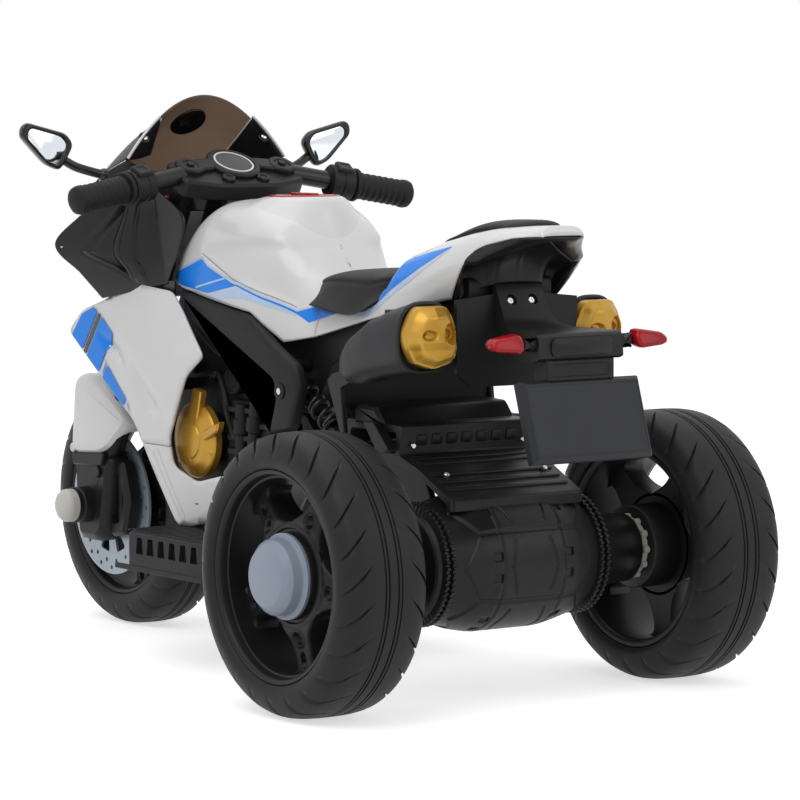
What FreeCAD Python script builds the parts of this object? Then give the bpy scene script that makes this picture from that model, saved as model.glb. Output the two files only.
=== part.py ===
import FreeCAD, Part
import math
import os

from FreeCAD import Vector

# Kids' electric motorbike with one front wheel and two driven rear wheels.
# +X is forward, +Y left, +Z up, in millimetres; the floor is Z = 0 and the
# origin lies under the middle of the overall box.

# Driving dimensions
wheel_radius = 150.0
rear_axle_x = -346.0
front_axle_x = 375.0
rear_track = 474.0
rear_tyre_width = 106.0
front_tyre_width = 78.0
rake_deg = 27.3
fork_offset = 13.0
fork_half_spacing = 64.0
wall = 3.0
body_gap = 0.4
running_gap = 0.05

# Frame and steering head
frame_half_width = 55.0
head_bottom = 245.0
head_top = 415.0
stem_radius = 14.0
head_radius = 29.0
frame_profile = [
    (128, 470), (200, 330), (200, 205), (175, 150), (-45, 150), (-95, 235), (-95, 312),
    (-120, 350), (-250, 394), (-400, 430), (-400, 462), (-240, 436), (-95, 410), (-30, 465)]

# Rear suspension
pivot = Vector(-70, 0, 275)
pivot_pin_radius = 7.0
swing_inner_y = 57.0
swing_outer_y = 66.0
shock_y = 70.0
shock_top = Vector(-84, shock_y, 322)
shock_foot = Vector(-143, shock_y, 281)
shock_wire_radius = 2.4
shock_coil_radius = 11.0
shock_turns = 5
shock_axis = (shock_foot - shock_top).normalize()
seat_thickness = 4.0
seat_radius = 14.0
seat_gap = 0.2

# Rear axle and drive
barrel_radius = 74.0
barrel_end_radius = 57.0
barrel_half_length = 115.0
sleeve_radius = 39.0
axle_radius = 6.0
gear_module = 1.0
gear_teeth = 44
pinion_teeth = 10
gear_y = 128.0
gear_width = 14.0
motor_radius = 17.0

# Wheels
rim_radius = 112.0
rim_lip = 9.0
hub_radius = 46.0
cap_radius = 40.0
cap_proud = 6.0
spoke_count = 5
spoke_start_deg = 46.0

# Steering
leg_radius = 15.0
bar_radius = 11.0
grip_radius = 16.5
grip_inner_y = 157.0
grip_outer_y = 236.0
disc_radius = 88.0
disc_y = 43.0
disc_half_thickness = 1.5

rake = math.radians(rake_deg)
steer_up = Vector(-math.sin(rake), 0, math.cos(rake))
steer_ahead = Vector(math.cos(rake), 0, math.sin(rake))
steer_foot = Vector(front_axle_x - fork_offset, 0, wheel_radius)
leg_ahead = fork_offset * math.cos(rake)
left = Vector(0, 1, 0)


# Shared construction steps

def on_fork(height, ahead=0.0, side=0.0):
    """Point by its distance up the steering axis, ahead of it and to the left."""
    return steer_foot + steer_up * height + steer_ahead * ahead + left * side


def rod(start, end, radius):
    return Part.makeCylinder(radius, (end - start).Length, start, end - start)


def tube(start, end, outer, inner):
    return rod(start, end, outer).cut(rod(start, end, inner))


def across(x, z, y_low, y_high, radius):
    """Cylinder along Y."""
    return rod(Vector(x, y_low, z), Vector(x, y_high, z), radius)


def ring_across(x, z, y_low, y_high, outer, inner):
    return across(x, z, y_low, y_high, outer).cut(across(x, z, y_low - 1, y_high + 1, inner))


def box(low, high):
    size = [high[i] - low[i] for i in range(3)]
    return Part.makeBox(*size, Vector(*low))


def mirrored(shape):
    return shape.mirror(Vector(0, 0, 0), left)


def both_sides(shape):
    return Part.Compound([shape, mirrored(shape)])


def outline(points, corner):
    """Closed outline in XZ whose corners are rounded by tangent arcs."""
    corners = [Vector(x, 0, z) for x, z in points]
    edges = []
    joints = []
    for index, here in enumerate(corners):
        to_before = corners[index - 1] - here
        to_after = corners[(index + 1) % len(corners)] - here
        room = 0.45 * min(to_before.Length, to_after.Length)
        half = to_before.getAngle(to_after) / 2
        cut = min(corner / math.tan(half), room)
        radius = cut * math.tan(half)
        to_before.normalize()
        to_after.normalize()
        inward = (to_before + to_after).normalize()
        middle = here + inward * (radius / math.sin(half) - radius)
        joints.append((here + to_before * cut, middle, here + to_after * cut))
    for index, (start, middle, end) in enumerate(joints):
        edges.append(Part.Arc(start, middle, end).toShape())
        following = joints[(index + 1) % len(joints)][0]
        edges.append(Part.LineSegment(end, following).toShape())
    return Part.Wire(edges)


def plate(points, y_low, y_high, corner=4.0):
    """Prism of a rounded XZ outline from one Y to another."""
    prism = Part.Face(outline(points, corner)).extrude(Vector(0, y_high - y_low, 0))
    prism.translate(Vector(0, y_low, 0))
    return prism


def inset_plate(points, inset, y_low, y_high, corner=4.0):
    face = Part.Face(outline(points, corner)).makeOffset2D(-inset)
    prism = face.extrude(Vector(0, y_high - y_low, 0))
    prism.translate(Vector(0, y_low, 0))
    return prism


def ring_section(x, half_low, half_top, z_low, z_top, power, points=28):
    """Closed cross-section at one X: a softened box, narrower or wider at its top."""
    ring = []
    for step in range(points):
        angle = 2 * math.pi * step / points
        across_share = math.copysign(abs(math.cos(angle)) ** (2 / power), math.cos(angle))
        up_share = math.copysign(abs(math.sin(angle)) ** (2 / power), math.sin(angle))
        half = half_low + (half_top - half_low) * (up_share + 1) / 2
        height = (z_low + z_top) / 2 + (z_top - z_low) / 2 * up_share
        ring.append(Vector(x, half * across_share, height))
    curve = Part.BSplineCurve()
    curve.interpolate(Points=ring, PeriodicFlag=True)
    return Part.Wire([curve.toShape()])


def loft(stations, power):
    return Part.makeLoft([ring_section(*station, power) for station in stations], True, False)


def cushion_section(x, half_low, half_top, z_low, z_top):
    """Cushion cut across: flat base, sides drawn in between the corners, crowned top."""
    shoulder_z = z_top - crown_share * (z_top - z_low)
    waist = (half_low + half_top) / 2 - side_draw
    waist_z = (z_low + shoulder_z) / 2
    foot = Vector(x, half_low, z_low)
    shoulder = Vector(x, half_top, shoulder_z)
    far_foot = Vector(x, -half_low, z_low)
    far_shoulder = Vector(x, -half_top, shoulder_z)
    return Part.Wire([
        Part.LineSegment(far_foot, foot).toShape(),
        Part.Arc(foot, Vector(x, waist, waist_z), shoulder).toShape(),
        Part.Arc(shoulder, Vector(x, 0, z_top), far_shoulder).toShape(),
        Part.Arc(far_shoulder, Vector(x, -waist, waist_z), far_foot).toShape()])


def cushion(stations):
    return Part.makeLoft([cushion_section(*station) for station in stations], True, False)


def sheet(rows, thickness):
    """Curved panel through a grid of points, thickened to one side."""
    surface = Part.BSplineSurface()
    surface.interpolate(rows)
    return surface.toShape().makeOffsetShape(thickness, 0.01, fill=True)


def fused(shapes):
    result = shapes[0].multiFuse(shapes[1:])
    return result.removeSplitter()


def largest(shape):
    """The main solid of a cut piece, without the slivers the cut leaves."""
    return max(shape.Solids, key=lambda solid: solid.Volume)


def export(name, shape):
    shape.exportStep("parts/" + name + ".step")
    print(name, "valid" if shape.isValid() else "INVALID", "solids", len(shape.Solids),
          "volume cm3 %.1f" % (shape.Volume / 1000))


# Main frame: two moulded halves that meet on the centre plane

def spring_seat(centre):
    return rod(centre, centre + shock_axis * seat_thickness, seat_radius)


def frame_half():
    bore_start = on_fork(head_bottom)
    bore_end = on_fork(head_top)
    shell = plate(frame_profile, 0, frame_half_width, 10)
    shell = shell.cut(inset_plate(frame_profile, wall, -1, frame_half_width - wall, 10))
    neck = plate([(116, 464), (188, 332), (222, 342), (241, 383), (179, 505), (150, 500)], 0, 22, 6)
    clamp = rod(bore_start, bore_end, head_radius)
    clamp = clamp.common(box((0, 0, 0), (500, 100, 700)))
    shock_boss = across(shock_top.x, shock_top.z, frame_half_width - wall, shock_y + 8, 9)
    shock_guide = rod(shock_top, shock_top + (shock_foot - shock_top) * 0.55, 6)
    half = fused([shell, neck, clamp, shock_boss, shock_guide, spring_seat(shock_top)])
    half = half.cut(rod(on_fork(head_bottom - 40), on_fork(head_top + 40), stem_radius + running_gap))
    return half.cut(across(pivot.x, pivot.z, -5, 80, pivot_pin_radius + running_gap))


def battery():
    case = box((-30, -32.5, 153), (121, 32.5, 247))
    return case.makeFillet(3, case.Edges)


def control_box():
    case = box((-20, 12, 290), (70, frame_half_width - wall, 350))
    return case.makeFillet(2, case.Edges)


# Shells of the tank and the tail, with the lower edge they share

lower_edge = [
    (200, 440), (134, 423), (-12, 403), (-61, 371), (-112, 380), (-227, 406), (-326, 425), (-398, 439)]
tank_stations = [
    (169, 85, 79, 394, 450), (152, 91, 80, 388, 484), (124, 94, 81, 386, 512),
    (92, 99, 84, 384, 526), (50, 103, 84, 380, 528), (12, 104, 83, 374, 525), (-30, 99, 76, 360, 507),
    (-60, 90, 66, 343, 470), (-85, 86, 62, 344, 442), (-111.5, 84, 60, 348, 430)]
tail_stations = [
    (-112, 84, 60, 348, 430), (-170, 88, 62, 362, 437), (-215, 91, 63, 372, 446), (-250, 93, 65, 376, 458),
    (-285, 95, 68, 385, 477), (-325, 95, 72, 400, 495), (-391, 90, 72, 427, 507), (-430, 66, 52, 465, 511),
    (-464, 34, 26, 486, 512)]
tail_rim = [(-364, 428), (-397, 472), (-407, 486), (-417, 492), (-441, 499.5), (-490, 503)]
pad_stations = [
    (-76, 40, 34, 414, 442), (-100, 74, 56, 412, 450), (-125, 93, 62, 414, 454), (-170, 95, 64, 408, 457),
    (-206, 95, 64, 404, 458), (-238, 80, 60, 424, 459)]
pillion_stations = [
    (-290, 28, 22, 470, 488), (-310, 44, 36, 474, 498), (-365, 47, 38, 480, 516), (-415, 42, 34, 484, 520),
    (-436, 26, 20, 490, 518)]
crown_share = 0.3
side_draw = 1.2
tank_power = 3.8
tail_power = 3.6
filler_x = 17.0
filler_radius = 41.0
filler_top = 533.0


def below_lower_edge():
    floor_z = 300
    corners = lower_edge + [(-520, 439), (-520, floor_z), (200, floor_z)]
    return plate(corners, -150, 150, 3)


def tank_cover():
    collar = rod(Vector(filler_x, 0, 505), Vector(filler_x, 0, filler_top - 3), filler_radius)
    shell = loft(tank_stations, tank_power).fuse(collar)
    inner = [(x, low - wall, top - wall, z_low, z_top - wall)
             for x, low, top, z_low, z_top in tank_stations]
    inner[0] = (inner[0][0] - wall,) + inner[0][1:]
    shell = shell.cut(loft(inner, tank_power))
    neck_slot = box((120, -26, 300), (190, 26, 500))
    return shell.cut(below_lower_edge()).cut(neck_slot)


def filler_cap():
    lid = rod(Vector(filler_x, 0, filler_top - 3), Vector(filler_x, 0, filler_top), filler_radius - 2)
    knob = box((filler_x - 22, -5, filler_top), (filler_x + 22, 5, filler_top + 3))
    return fused([lid, knob])


def tail_cover():
    shell = loft(tail_stations, tail_power)
    inner = [(x, low - wall, top - wall, z_low, z_top - wall)
             for x, low, top, z_low, z_top in tail_stations]
    inner[-1] = (inner[-1][0] + wall,) + inner[-1][1:]
    shell = shell.cut(loft(inner, tail_power))
    rear_opening = plate(tail_rim + [(-490, 400), (-364, 400)], -120, 120, 2)
    return shell.cut(below_lower_edge()).cut(rear_opening)


def under_tail():
    """Black closing panel under the tail, set back inside its white rim."""
    profile = [(-356, 436), (-352, 442), (-384, 482), (-436, 499), (-441, 495), (-391, 444), (-384, 436)]
    block = plate(profile, -70, 70, 3)
    inner = [(x, low - wall - 1, top - wall - 1, z_low, z_top - wall - 1)
             for x, low, top, z_low, z_top in tail_stations]
    block = block.common(loft(inner, tail_power)).cut(tail_bracket())
    return block.cut(plate(frame_profile, -frame_half_width, frame_half_width, 10))


def seat_pad():
    pad = cushion(pad_stations).cut(loft(tail_stations, tail_power))
    return largest(pad.cut(loft(tank_stations, tank_power)))


def pillion_pad():
    return largest(cushion(pillion_stations).cut(loft(tail_stations, tail_power)))


# Tail end: bracket, plate, signals and exhausts

plate_profile = [(-499, 355), (-525.5, 271), (-511.5, 267), (-485, 351)]
plate_half_width = 79.0
signal_x = -491.0
signal_root = 72.0


def tail_bracket():
    mount = plate([(-380, 447), (-388, 448), (-397, 431), (-412, 408), (-424, 400), (-404, 394), (-384, 420)],
                  -32, 32, 2)
    bridge = plate([(-408, 410), (-497, 403), (-500, 373), (-430, 373), (-408, 396)], -57, 57, 5)
    neck = plate([(-470, 376), (-497, 376), (-499, 356), (-486, 352), (-478, 356)], -45, 45, 2)
    stalks = across(signal_x + 4, 391, -signal_root, signal_root, 6)
    shield = box((-391, -78, 352), (-384, 78, 424))
    bracket = fused([mount, bridge, neck, stalks, shield])
    silencer = exhaust()
    bracket = bracket.cut(number_plate()).cut(silencer).cut(mirrored(silencer)).cut(exhaust_tips())
    return bracket.cut(plate(frame_profile, -frame_half_width, frame_half_width, 10))


def number_plate():
    return plate(plate_profile, -plate_half_width, plate_half_width, 2)


def signal_lens():
    face = [(signal_root, 384), (signal_root, 397), (77, 403.5), (115, 399.5), (121, 393.5), (119.5, 386.5),
            (112, 383), (77, 382)]
    wire = Part.makePolygon([Vector(signal_x - 8, y, z) for y, z in face + face[:1]])
    return Part.Face(wire).extrude(Vector(17, 0, 0))


exhaust_y = 111.0
exhaust_stations = [
    (-240, 22, 20, 340, 378), (-262, 30, 27, 338, 392), (-300, 35, 31, 347, 412), (-374, 38, 34, 356, 432)]
tip_z = 394.0
tip_outline = [
    (-19, 34), (19, 34), (27, 24), (34.5, 6), (33, -9), (24, -26), (0, -34), (-24, -26), (-33, -9), (-34.5, 6),
    (-27, 24)]
tip_rings = [(-374, 1.0), (-387, 1.0), (-393, 0.86)]


def exhaust():
    body = loft(exhaust_stations, 2.8)
    body.translate(Vector(0, exhaust_y, 0))
    arm = box((-332, frame_half_width, 398), (-300, exhaust_y, 420))
    stay = plate([(-190, 345), (-180, 337), (-205, 280), (-213, 280), (-206, 330), (-262, 352), (-262, 360)],
                 98, 104, 2)
    return fused([body, arm, stay])


def exhaust_tips():
    """Two faceted end pieces, both the same way round, each with a large and a small outlet."""
    rings = []
    for x, size in tip_rings:
        corners = [Vector(x, exhaust_y + y * size, tip_z + z * size) for y, z in tip_outline]
        rings.append(Part.makePolygon(corners + corners[:1]))
    tip = Part.makeLoft(rings, True, True)
    for y, z, depth_x, radius in ((-16, 3, -379, 12), (13, 2, -383, 6)):
        outlet = Vector(depth_x, exhaust_y + y, tip_z + z)
        tip = tip.cut(rod(outlet, outlet - Vector(20, 0, 0), radius))
    return Part.Compound([tip, tip.translated(Vector(0, -2 * exhaust_y, 0))])


# Sides: engine covers, gold covers, arms, fairings, belly pans, footrests

engine_profile = [
    (185, 330), (185, 215), (150, 175), (-30, 175), (-44, 250), (-44, 318), (55, 343), (120, 385)]
engine_y = 70.0
clutch_centre = (107.0, 249.0)
clutch_radius = 44.0
arm_profile = [
    (127, 420), (-12, 401), (-61, 369), (-108, 347), (-117, 322), (-99, 275), (-51, 266), (-67, 312),
    (-61, 329), (57, 350), (127, 392)]
arm_inner_y = 84.5
arm_outer_y = 99.0
fairing_profile = [
    (262, 406), (218, 428), (132, 421), (45, 350), (81, 326), (123, 250), (119, 219), (71, 204),
    (10, 217), (40, 162), (97, 150), (124, 150), (198, 267), (343, 365), (313, 391)]
intake_profile = [(232, 362), (246, 350), (178, 283), (160, 276), (158, 288)]
belly_slot = [(150, 238), (160, 232), (112, 158), (104, 160)]
fairing_seam_z = 242.0


def engine_cover():
    base = plate(engine_profile, frame_half_width, engine_y, 12)
    cylinder = across(46, 322, engine_y - 1, 82, 17).cut(across(46, 322, 79, 83, 11))
    block = plate([(60, 300), (60, 190), (-20, 190), (-40, 240), (-40, 300)], engine_y - 1, 78, 8)
    fins = [plate([(-36, z), (54, z), (54, z + 7), (-36, z + 7)], 77, 83, 1.5) for z in range(205, 290, 16)]
    mounting = across(clutch_centre[0], clutch_centre[1], engine_y - 1, 84, 30)
    return fused([base, cylinder, block, mounting] + fins)


def clutch_cover():
    x, z = clutch_centre
    rim = across(x, z, 84, 93, clutch_radius)
    cap = Part.makeCone(clutch_radius, 30, 7, Vector(x, 93, z), left)
    hub = across(x, z, 99, 102, 20)
    arm_up = plate([(x - 24, z + 58), (x - 6, z + 62), (x + 8, z + 8), (x - 10, z + 4)], 92, 98, 3)
    arm_back = plate([(x - 62, z + 26), (x - 58, z + 14), (x - 14, z - 6), (x - 10, z + 6)], 92, 98, 3)
    return fused([rim, cap, hub, arm_up, arm_back])


def side_arm():
    body = plate(arm_profile, arm_inner_y, arm_outer_y, 8)
    boss_rear = across(-72, 345, frame_half_width, arm_inner_y + 1, 8)
    boss_front = across(80, 392, frame_half_width, arm_inner_y + 1, 8)
    body = fused([body, boss_rear, boss_front])
    return body.cut(across(-78, 318, 92, 100, 4))


def fairing_y(z):
    """Outer face of the fairing: widest at mid height, drawn in at top and bottom."""
    return 122 - 18 * ((z - 330) / 200) ** 2


def fairing_sheet():
    rows = []
    for x in (0, 120, 240, 360):
        rows.append([Vector(x, fairing_y(z), z) for z in (130, 210, 290, 370, 450)])
    return sheet(rows, wall)


def fairing_whole():
    panel = plate(fairing_profile, 60, 160, 10).common(fairing_sheet())
    panel = panel.cut(plate(intake_profile, 60, 160, 5))
    return panel.cut(plate(belly_slot, 60, 160, 3))


def side_fairing():
    upper = fairing_whole().common(box((0, 0, fairing_seam_z), (400, 200, 500)))
    boss = across(140, 312, engine_y, fairing_y(312) - 1, 7)
    return fused([upper, boss])


def belly_pan():
    lower = fairing_whole().common(box((0, 0, 100), (400, 200, fairing_seam_z - 0.3)))
    boss = across(75, 184, engine_y, fairing_y(184) - 1, 7)
    return fused([lower, boss])


footrest_low = (-60, 40, 106)
footrest_high = (125, 190, 149.6)
tread_top = 150.4


def footrest(raised_tread):
    """Hollow step with grooves; a raised tread lies outside everything above the step."""
    block = box(footrest_low, footrest_high)
    if raised_tread:
        block = block.fuse(box((-56, 126, 148.5), (121, 188, tread_top)))
    block = block.cut(box((-56, 44, 105), (121, 180, 145)))
    for index in range(6):
        start = -50 + index * 23
        block = block.cut(box((start, 183, 124), (start + 16, 191, 146)))
    for index in range(9):
        start = -48 + index * 19
        block = block.cut(box((start, 100, 148), (start + 5, 180, 152)))
    return block


pedal_pivot = Vector(-10, -145, 156)


def foot_pedal():
    tread = plate([(-14, 152), (72, 156), (72, 162), (-14, 162)], -178, -112, 2)
    hinge = across(pedal_pivot.x, pedal_pivot.z, -178, -112, 5)
    return fused([tread, hinge]).cut(across(pedal_pivot.x, pedal_pivot.z, -180, -110, 2.5))


# Rear suspension: swing arm, deck, shock springs

swing_profile = [
    (-52, 262), (-56, 288), (-84, 291), (-98, 274), (-150, 264), (-215, 262), (-300, 258), (-322, 214),
    (-292, 192), (-250, 225), (-150, 240), (-80, 252)]
deck_profile = [
    (-190, 268), (-196, 296), (-300, 294), (-294, 262), (-330, 250), (-388, 222), (-388, 208), (-380, 208),
    (-380, 216), (-328, 243), (-284, 256), (-288, 286), (-204, 286), (-200, 268)]
deck_half_width = 88.0


def swing_arm():
    beam = plate(swing_profile, swing_inner_y + body_gap, swing_outer_y, 6)
    beam = beam.cut(across(rear_axle_x, wheel_radius, 0, 100, barrel_radius))
    seat = spring_seat(shock_foot)
    post_profile = [(-136, 266), (-147, 283), (-158, 280), (-166, 262), (-140, 258)]
    seat_post = plate(post_profile, swing_inner_y + body_gap, shock_y + 10, 2)
    beam = fused([beam, seat, seat_post])
    cross = box((-285, -60, 252), (-205, 60, 258))
    pin = across(pivot.x, pivot.z, -swing_outer_y, swing_outer_y, pivot_pin_radius)
    return largest(fused([beam, mirrored(beam), cross, pin]).cut(rear_deck()))


def rear_deck():
    cover = plate(deck_profile, -deck_half_width, deck_half_width, 3)
    tab = plate([(-242, 296), (-262, 296), (-290, 268), (-270, 262)], deck_half_width - 1, 100, 3)
    cover = fused([cover, tab, mirrored(tab)])
    return cover.cut(across(rear_axle_x, wheel_radius, -100, 100, barrel_radius + 0.05))


def biarc(start, start_way, end, end_way):
    """Two arcs that join two points and run along a given way at each of them."""
    span = end - start
    turn = 2 * (1 - start_way.dot(end_way))
    along = span.dot(start_way + end_way)
    reach = (math.sqrt(along ** 2 + turn * span.dot(span)) - along) / turn
    middle = (start + end + (start_way - end_way) * reach) * 0.5
    return [arc_leaving(start, start_way, middle), arc_leaving(end, end_way * -1, middle)]


def arc_leaving(start, way, end):
    chord = end - start
    unit = Vector(chord).normalize()
    side = way - unit * way.dot(unit)
    sagitta = chord.Length / 2 * math.tan(way.getAngle(chord) / 2)
    crest = start + chord * 0.5 + side.normalize() * sagitta
    return Part.Arc(start, crest, end).toShape()


def shock_spring():
    """Coil of round wire; each end turns along the axis and meets its seat squarely."""
    top = shock_top + shock_axis * seat_thickness
    length = (shock_foot - top).Length - seat_gap
    sideways = left
    upward = shock_axis.cross(sideways)
    straight = 2 * shock_wire_radius
    lead_in = 9.0
    coil_start = straight + lead_in
    coil_length = length - 2 * coil_start
    slope = coil_length / (2 * math.pi * shock_turns)

    def place(angle, depth):
        arm = sideways * math.cos(angle) + upward * math.sin(angle)
        return top + shock_axis * depth + arm * shock_coil_radius

    def heading(angle):
        way = upward * math.cos(angle) - sideways * math.sin(angle)
        return (way * shock_coil_radius + shock_axis * slope).normalize()

    quarter = math.pi / 2
    last = shock_turns * 4
    edges = [Part.LineSegment(place(-quarter, 0), place(-quarter, straight)).toShape()]
    edges += biarc(place(-quarter, straight), shock_axis, place(0, coil_start), heading(0))
    for step in range(last):
        ends = []
        for index in (step, step + 1):
            angle = index * quarter
            ends += [place(angle, coil_start + slope * angle), heading(angle)]
        edges += biarc(*ends)
    coil_end = last * quarter
    foot = place(coil_end + quarter, length - straight)
    edges += biarc(place(coil_end, length - coil_start), heading(coil_end), foot, shock_axis)
    edges.append(Part.LineSegment(foot, place(coil_end + quarter, length)).toShape())
    path = Part.Wire(Part.__sortEdges__(edges))
    section = Part.Wire(Part.makeCircle(shock_wire_radius, place(-quarter, 0), shock_axis))
    spring = path.makePipeShell([section], True, False)
    print_spring_gap(path)
    return spring


def print_spring_gap(path):
    points = path.discretize(Distance=1.0)
    apart = 5 * shock_wire_radius
    step = path.Length / (len(points) - 1)
    skip = int(apart / step) + 1
    nearest = min((points[i] - points[j]).Length
                  for i in range(len(points)) for j in range(i + skip, len(points)))
    print("spring least gap mm %.2f" % (nearest - 2 * shock_wire_radius))


# Rear axle, housing and drive

gear_radius = gear_module * gear_teeth / 2
pinion_radius = gear_module * pinion_teeth / 2
motor_rise = gear_radius + pinion_radius
hub_inner_y = rear_track / 2 - 50.0
hub_outer_y = rear_track / 2 + 32.0
tyre_outer_y = rear_track / 2 + rear_tyre_width / 2


def turned(points, x, z, corner=0.01):
    """Solid of revolution about a Y axis; points are (radius, y)."""
    wire = outline(points, corner)
    turn_up = FreeCAD.Matrix(0, 0, 0, x, 0, 0, 1, 0, 1, 0, 0, z, 0, 0, 0, 1)
    face = Part.Face(wire.transformGeometry(turn_up))
    return face.revolve(Vector(x, 0, z), left, 360)


def axle_housing_half():
    outer = [(0, 0.05), (barrel_radius, 0.05), (barrel_radius, 40), (barrel_end_radius + 4, 96),
             (barrel_end_radius, 99), (barrel_end_radius, barrel_half_length),
             (sleeve_radius, barrel_half_length), (sleeve_radius, 178), (0, 178)]
    inner = [(0, -1), (barrel_radius - wall, -1), (barrel_radius - wall, 38),
             (barrel_end_radius - wall, 100), (barrel_end_radius - wall, barrel_half_length - wall),
             (0, barrel_half_length - wall)]
    body = turned(outer, rear_axle_x, wheel_radius)
    body = body.cut(turned(inner, rear_axle_x, wheel_radius))
    body = body.cut(across(rear_axle_x, wheel_radius, barrel_half_length, 179, sleeve_radius - wall))
    body = body.cut(across(rear_axle_x, wheel_radius, 100, 120, axle_radius + 0.02))
    return body.cut(across(rear_axle_x, wheel_radius + motor_rise, 100, 120, 5))


def motor():
    z = wheel_radius + motor_rise
    can = across(rear_axle_x, z, 48, 106, motor_radius)
    nose = across(rear_axle_x, z, 106, barrel_half_length - wall, 8)
    return fused([can, nose]).cut(across(rear_axle_x, z, 100, 113, 3.1))


def gear(teeth, y_low, y_high, x, z, first_deg):
    """Spur gear with straight-flanked teeth and generous backlash."""
    pitch = 2 * math.pi / teeth
    root = gear_module * (teeth / 2 - 1.25)
    tip = gear_module * (teeth / 2 + 0.85)
    points = []
    for index in range(teeth):
        centre = math.radians(first_deg) + index * pitch
        for radius, share in ((root, -0.27), (tip, -0.13), (tip, 0.13), (root, 0.27)):
            angle = centre + share * pitch
            points.append(Vector(x + radius * math.sin(angle), y_low, z + radius * math.cos(angle)))
    wire = Part.makePolygon(points + points[:1])
    return Part.Face(wire).extrude(Vector(0, y_high - y_low, 0))


def pinion():
    z = wheel_radius + motor_rise
    teeth = gear(pinion_teeth, gear_y, gear_y + gear_width, rear_axle_x, z, 180 / pinion_teeth)
    shaft = across(rear_axle_x, z, 101, gear_y + gear_width, 3)
    return fused([teeth, shaft])


def drive_gear():
    x, z = rear_axle_x, wheel_radius
    teeth = gear(gear_teeth, gear_y, gear_y + gear_width, x, z, 0)
    sleeve = across(x, z, gear_y, hub_inner_y, 14)
    flange = across(x, z, 180, hub_inner_y, 33)
    dogs = []
    for index in range(12):
        angle = 2 * math.pi * index / 12
        dogs.append(across(x + 33 * math.cos(angle), z + 33 * math.sin(angle), 180, hub_inner_y, 4))
    return fused([teeth, sleeve, flange] + dogs).cut(across(x, z, 100, 200, axle_radius + running_gap))


# Wheels

def tyre(x, half_width):
    points = [(rim_radius, -half_width + 4), (rim_radius + 14, -half_width), (wheel_radius - 9, -half_width + 7),
              (wheel_radius, -half_width * 0.42), (wheel_radius, half_width * 0.42),
              (wheel_radius - 9, half_width - 7), (rim_radius + 14, half_width), (rim_radius, half_width - 4)]
    return turned(points, x, wheel_radius, 8)


def rim(x, half_width, web_low, web_high, hub_low, hub_high):
    z = wheel_radius
    ring = ring_across(x, z, -half_width + 5, half_width - 5, rim_radius, rim_radius - rim_lip)
    web = across(x, z, web_low, web_high, rim_radius - rim_lip + 1)
    hub = across(x, z, hub_low, hub_high, hub_radius)
    inner, outer = hub_radius + 10, rim_radius - rim_lip - 2
    for index in range(spoke_count):
        middle = math.radians(spoke_start_deg) + 2 * math.pi * (index + 0.5) / spoke_count
        corners = []
        for radius, share in ((inner, -0.16), (outer, -0.40), (outer, 0.40), (inner, 0.16)):
            angle = middle + share
            corners.append((x + radius * math.cos(angle), z + radius * math.sin(angle)))
        web = web.cut(plate(corners, web_low - 1, web_high + 1, 9))
    return fused([ring, web, hub]).cut(across(x, z, -200, 200, axle_radius + running_gap))


def rear_tyre():
    shape = tyre(rear_axle_x, rear_tyre_width / 2)
    shape.translate(Vector(0, rear_track / 2, 0))
    return shape


def rear_rim():
    shape = rim(rear_axle_x, rear_tyre_width / 2, -12, 26, -50, 32)
    shape.translate(Vector(0, rear_track / 2, 0))
    return shape


def hub_cap():
    x, z = rear_axle_x, wheel_radius
    face_y = tyre_outer_y + cap_proud
    points = [(0, hub_outer_y), (cap_radius, hub_outer_y), (cap_radius, face_y - 9), (cap_radius - 10, face_y),
              (0, face_y)]
    cap = turned(points, x, z, 2)
    return cap.cut(across(x, z, hub_outer_y - 1, hub_outer_y + 14, 12))


def brake_disc():
    x, z = front_axle_x, wheel_radius
    disc = ring_across(x, z, disc_y - disc_half_thickness, disc_y + disc_half_thickness, disc_radius, 20)
    for index in range(10):
        angle = 2 * math.pi * index / 10
        corners = []
        for radius, share in ((34, -0.12), (62, -0.24), (62, 0.10), (34, 0.16)):
            corners.append((x + radius * math.cos(angle + share), z + radius * math.sin(angle + share)))
        disc = disc.cut(plate(corners, 0, 100, 3))
    holes = []
    for index in range(40):
        angle = 2 * math.pi * index / 40
        radius = 72 if index % 2 else 80
        holes.append(across(x + radius * math.cos(angle), z + radius * math.sin(angle), 0, 100, 2.6))
    return disc.cut(Part.Compound(holes))


# Steering: stem, yokes, fork legs, handlebar, fender

clamp_low = 434.0
clamp_high = 456.0
cap_top = 465.0
leg_cap_radius = 18.0
fender_inner = 157.0
fender_outer = 161.0
fender_profile = [(397, 313), (408, 207), (326, 213), (265, 260), (341, 308)]


def fork_plate(points, low, high):
    """Plate square to the steering axis; points are (ahead, side)."""
    corners = [on_fork(low, ahead, side) for ahead, side in points]
    return Part.Face(Part.makePolygon(corners + corners[:1])).extrude(steer_up * (high - low))


def leg_rod(radius=leg_radius, low=60.0, high=clamp_high):
    return rod(on_fork(low, leg_ahead, fork_half_spacing), on_fork(high, leg_ahead, fork_half_spacing), radius)


def both_legs(radius=leg_radius):
    leg = leg_rod(radius)
    return leg.fuse(mirrored(leg))


def fork_lower():
    """Moulded foot of one fork leg with the calliper behind it."""
    foot = plate([(408, 207), (319, 213), (338, 118), (352, 106), (398, 106), (404, 150)], 50, 80, 12)
    calliper = plate([(340, 204), (312, 208), (296, 160), (308, 118), (340, 112)], 50, 68, 8)
    return foot.fuse(calliper)


def steering_stem():
    yoke = fork_plate([(-24, -82), (28, -84), (32, -40), (32, 40), (28, 84), (-24, 82)], 205, 228)
    stem = rod(on_fork(205), on_fork(clamp_high - 6), stem_radius)
    return fused([yoke, stem]).cut(both_legs())


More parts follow.
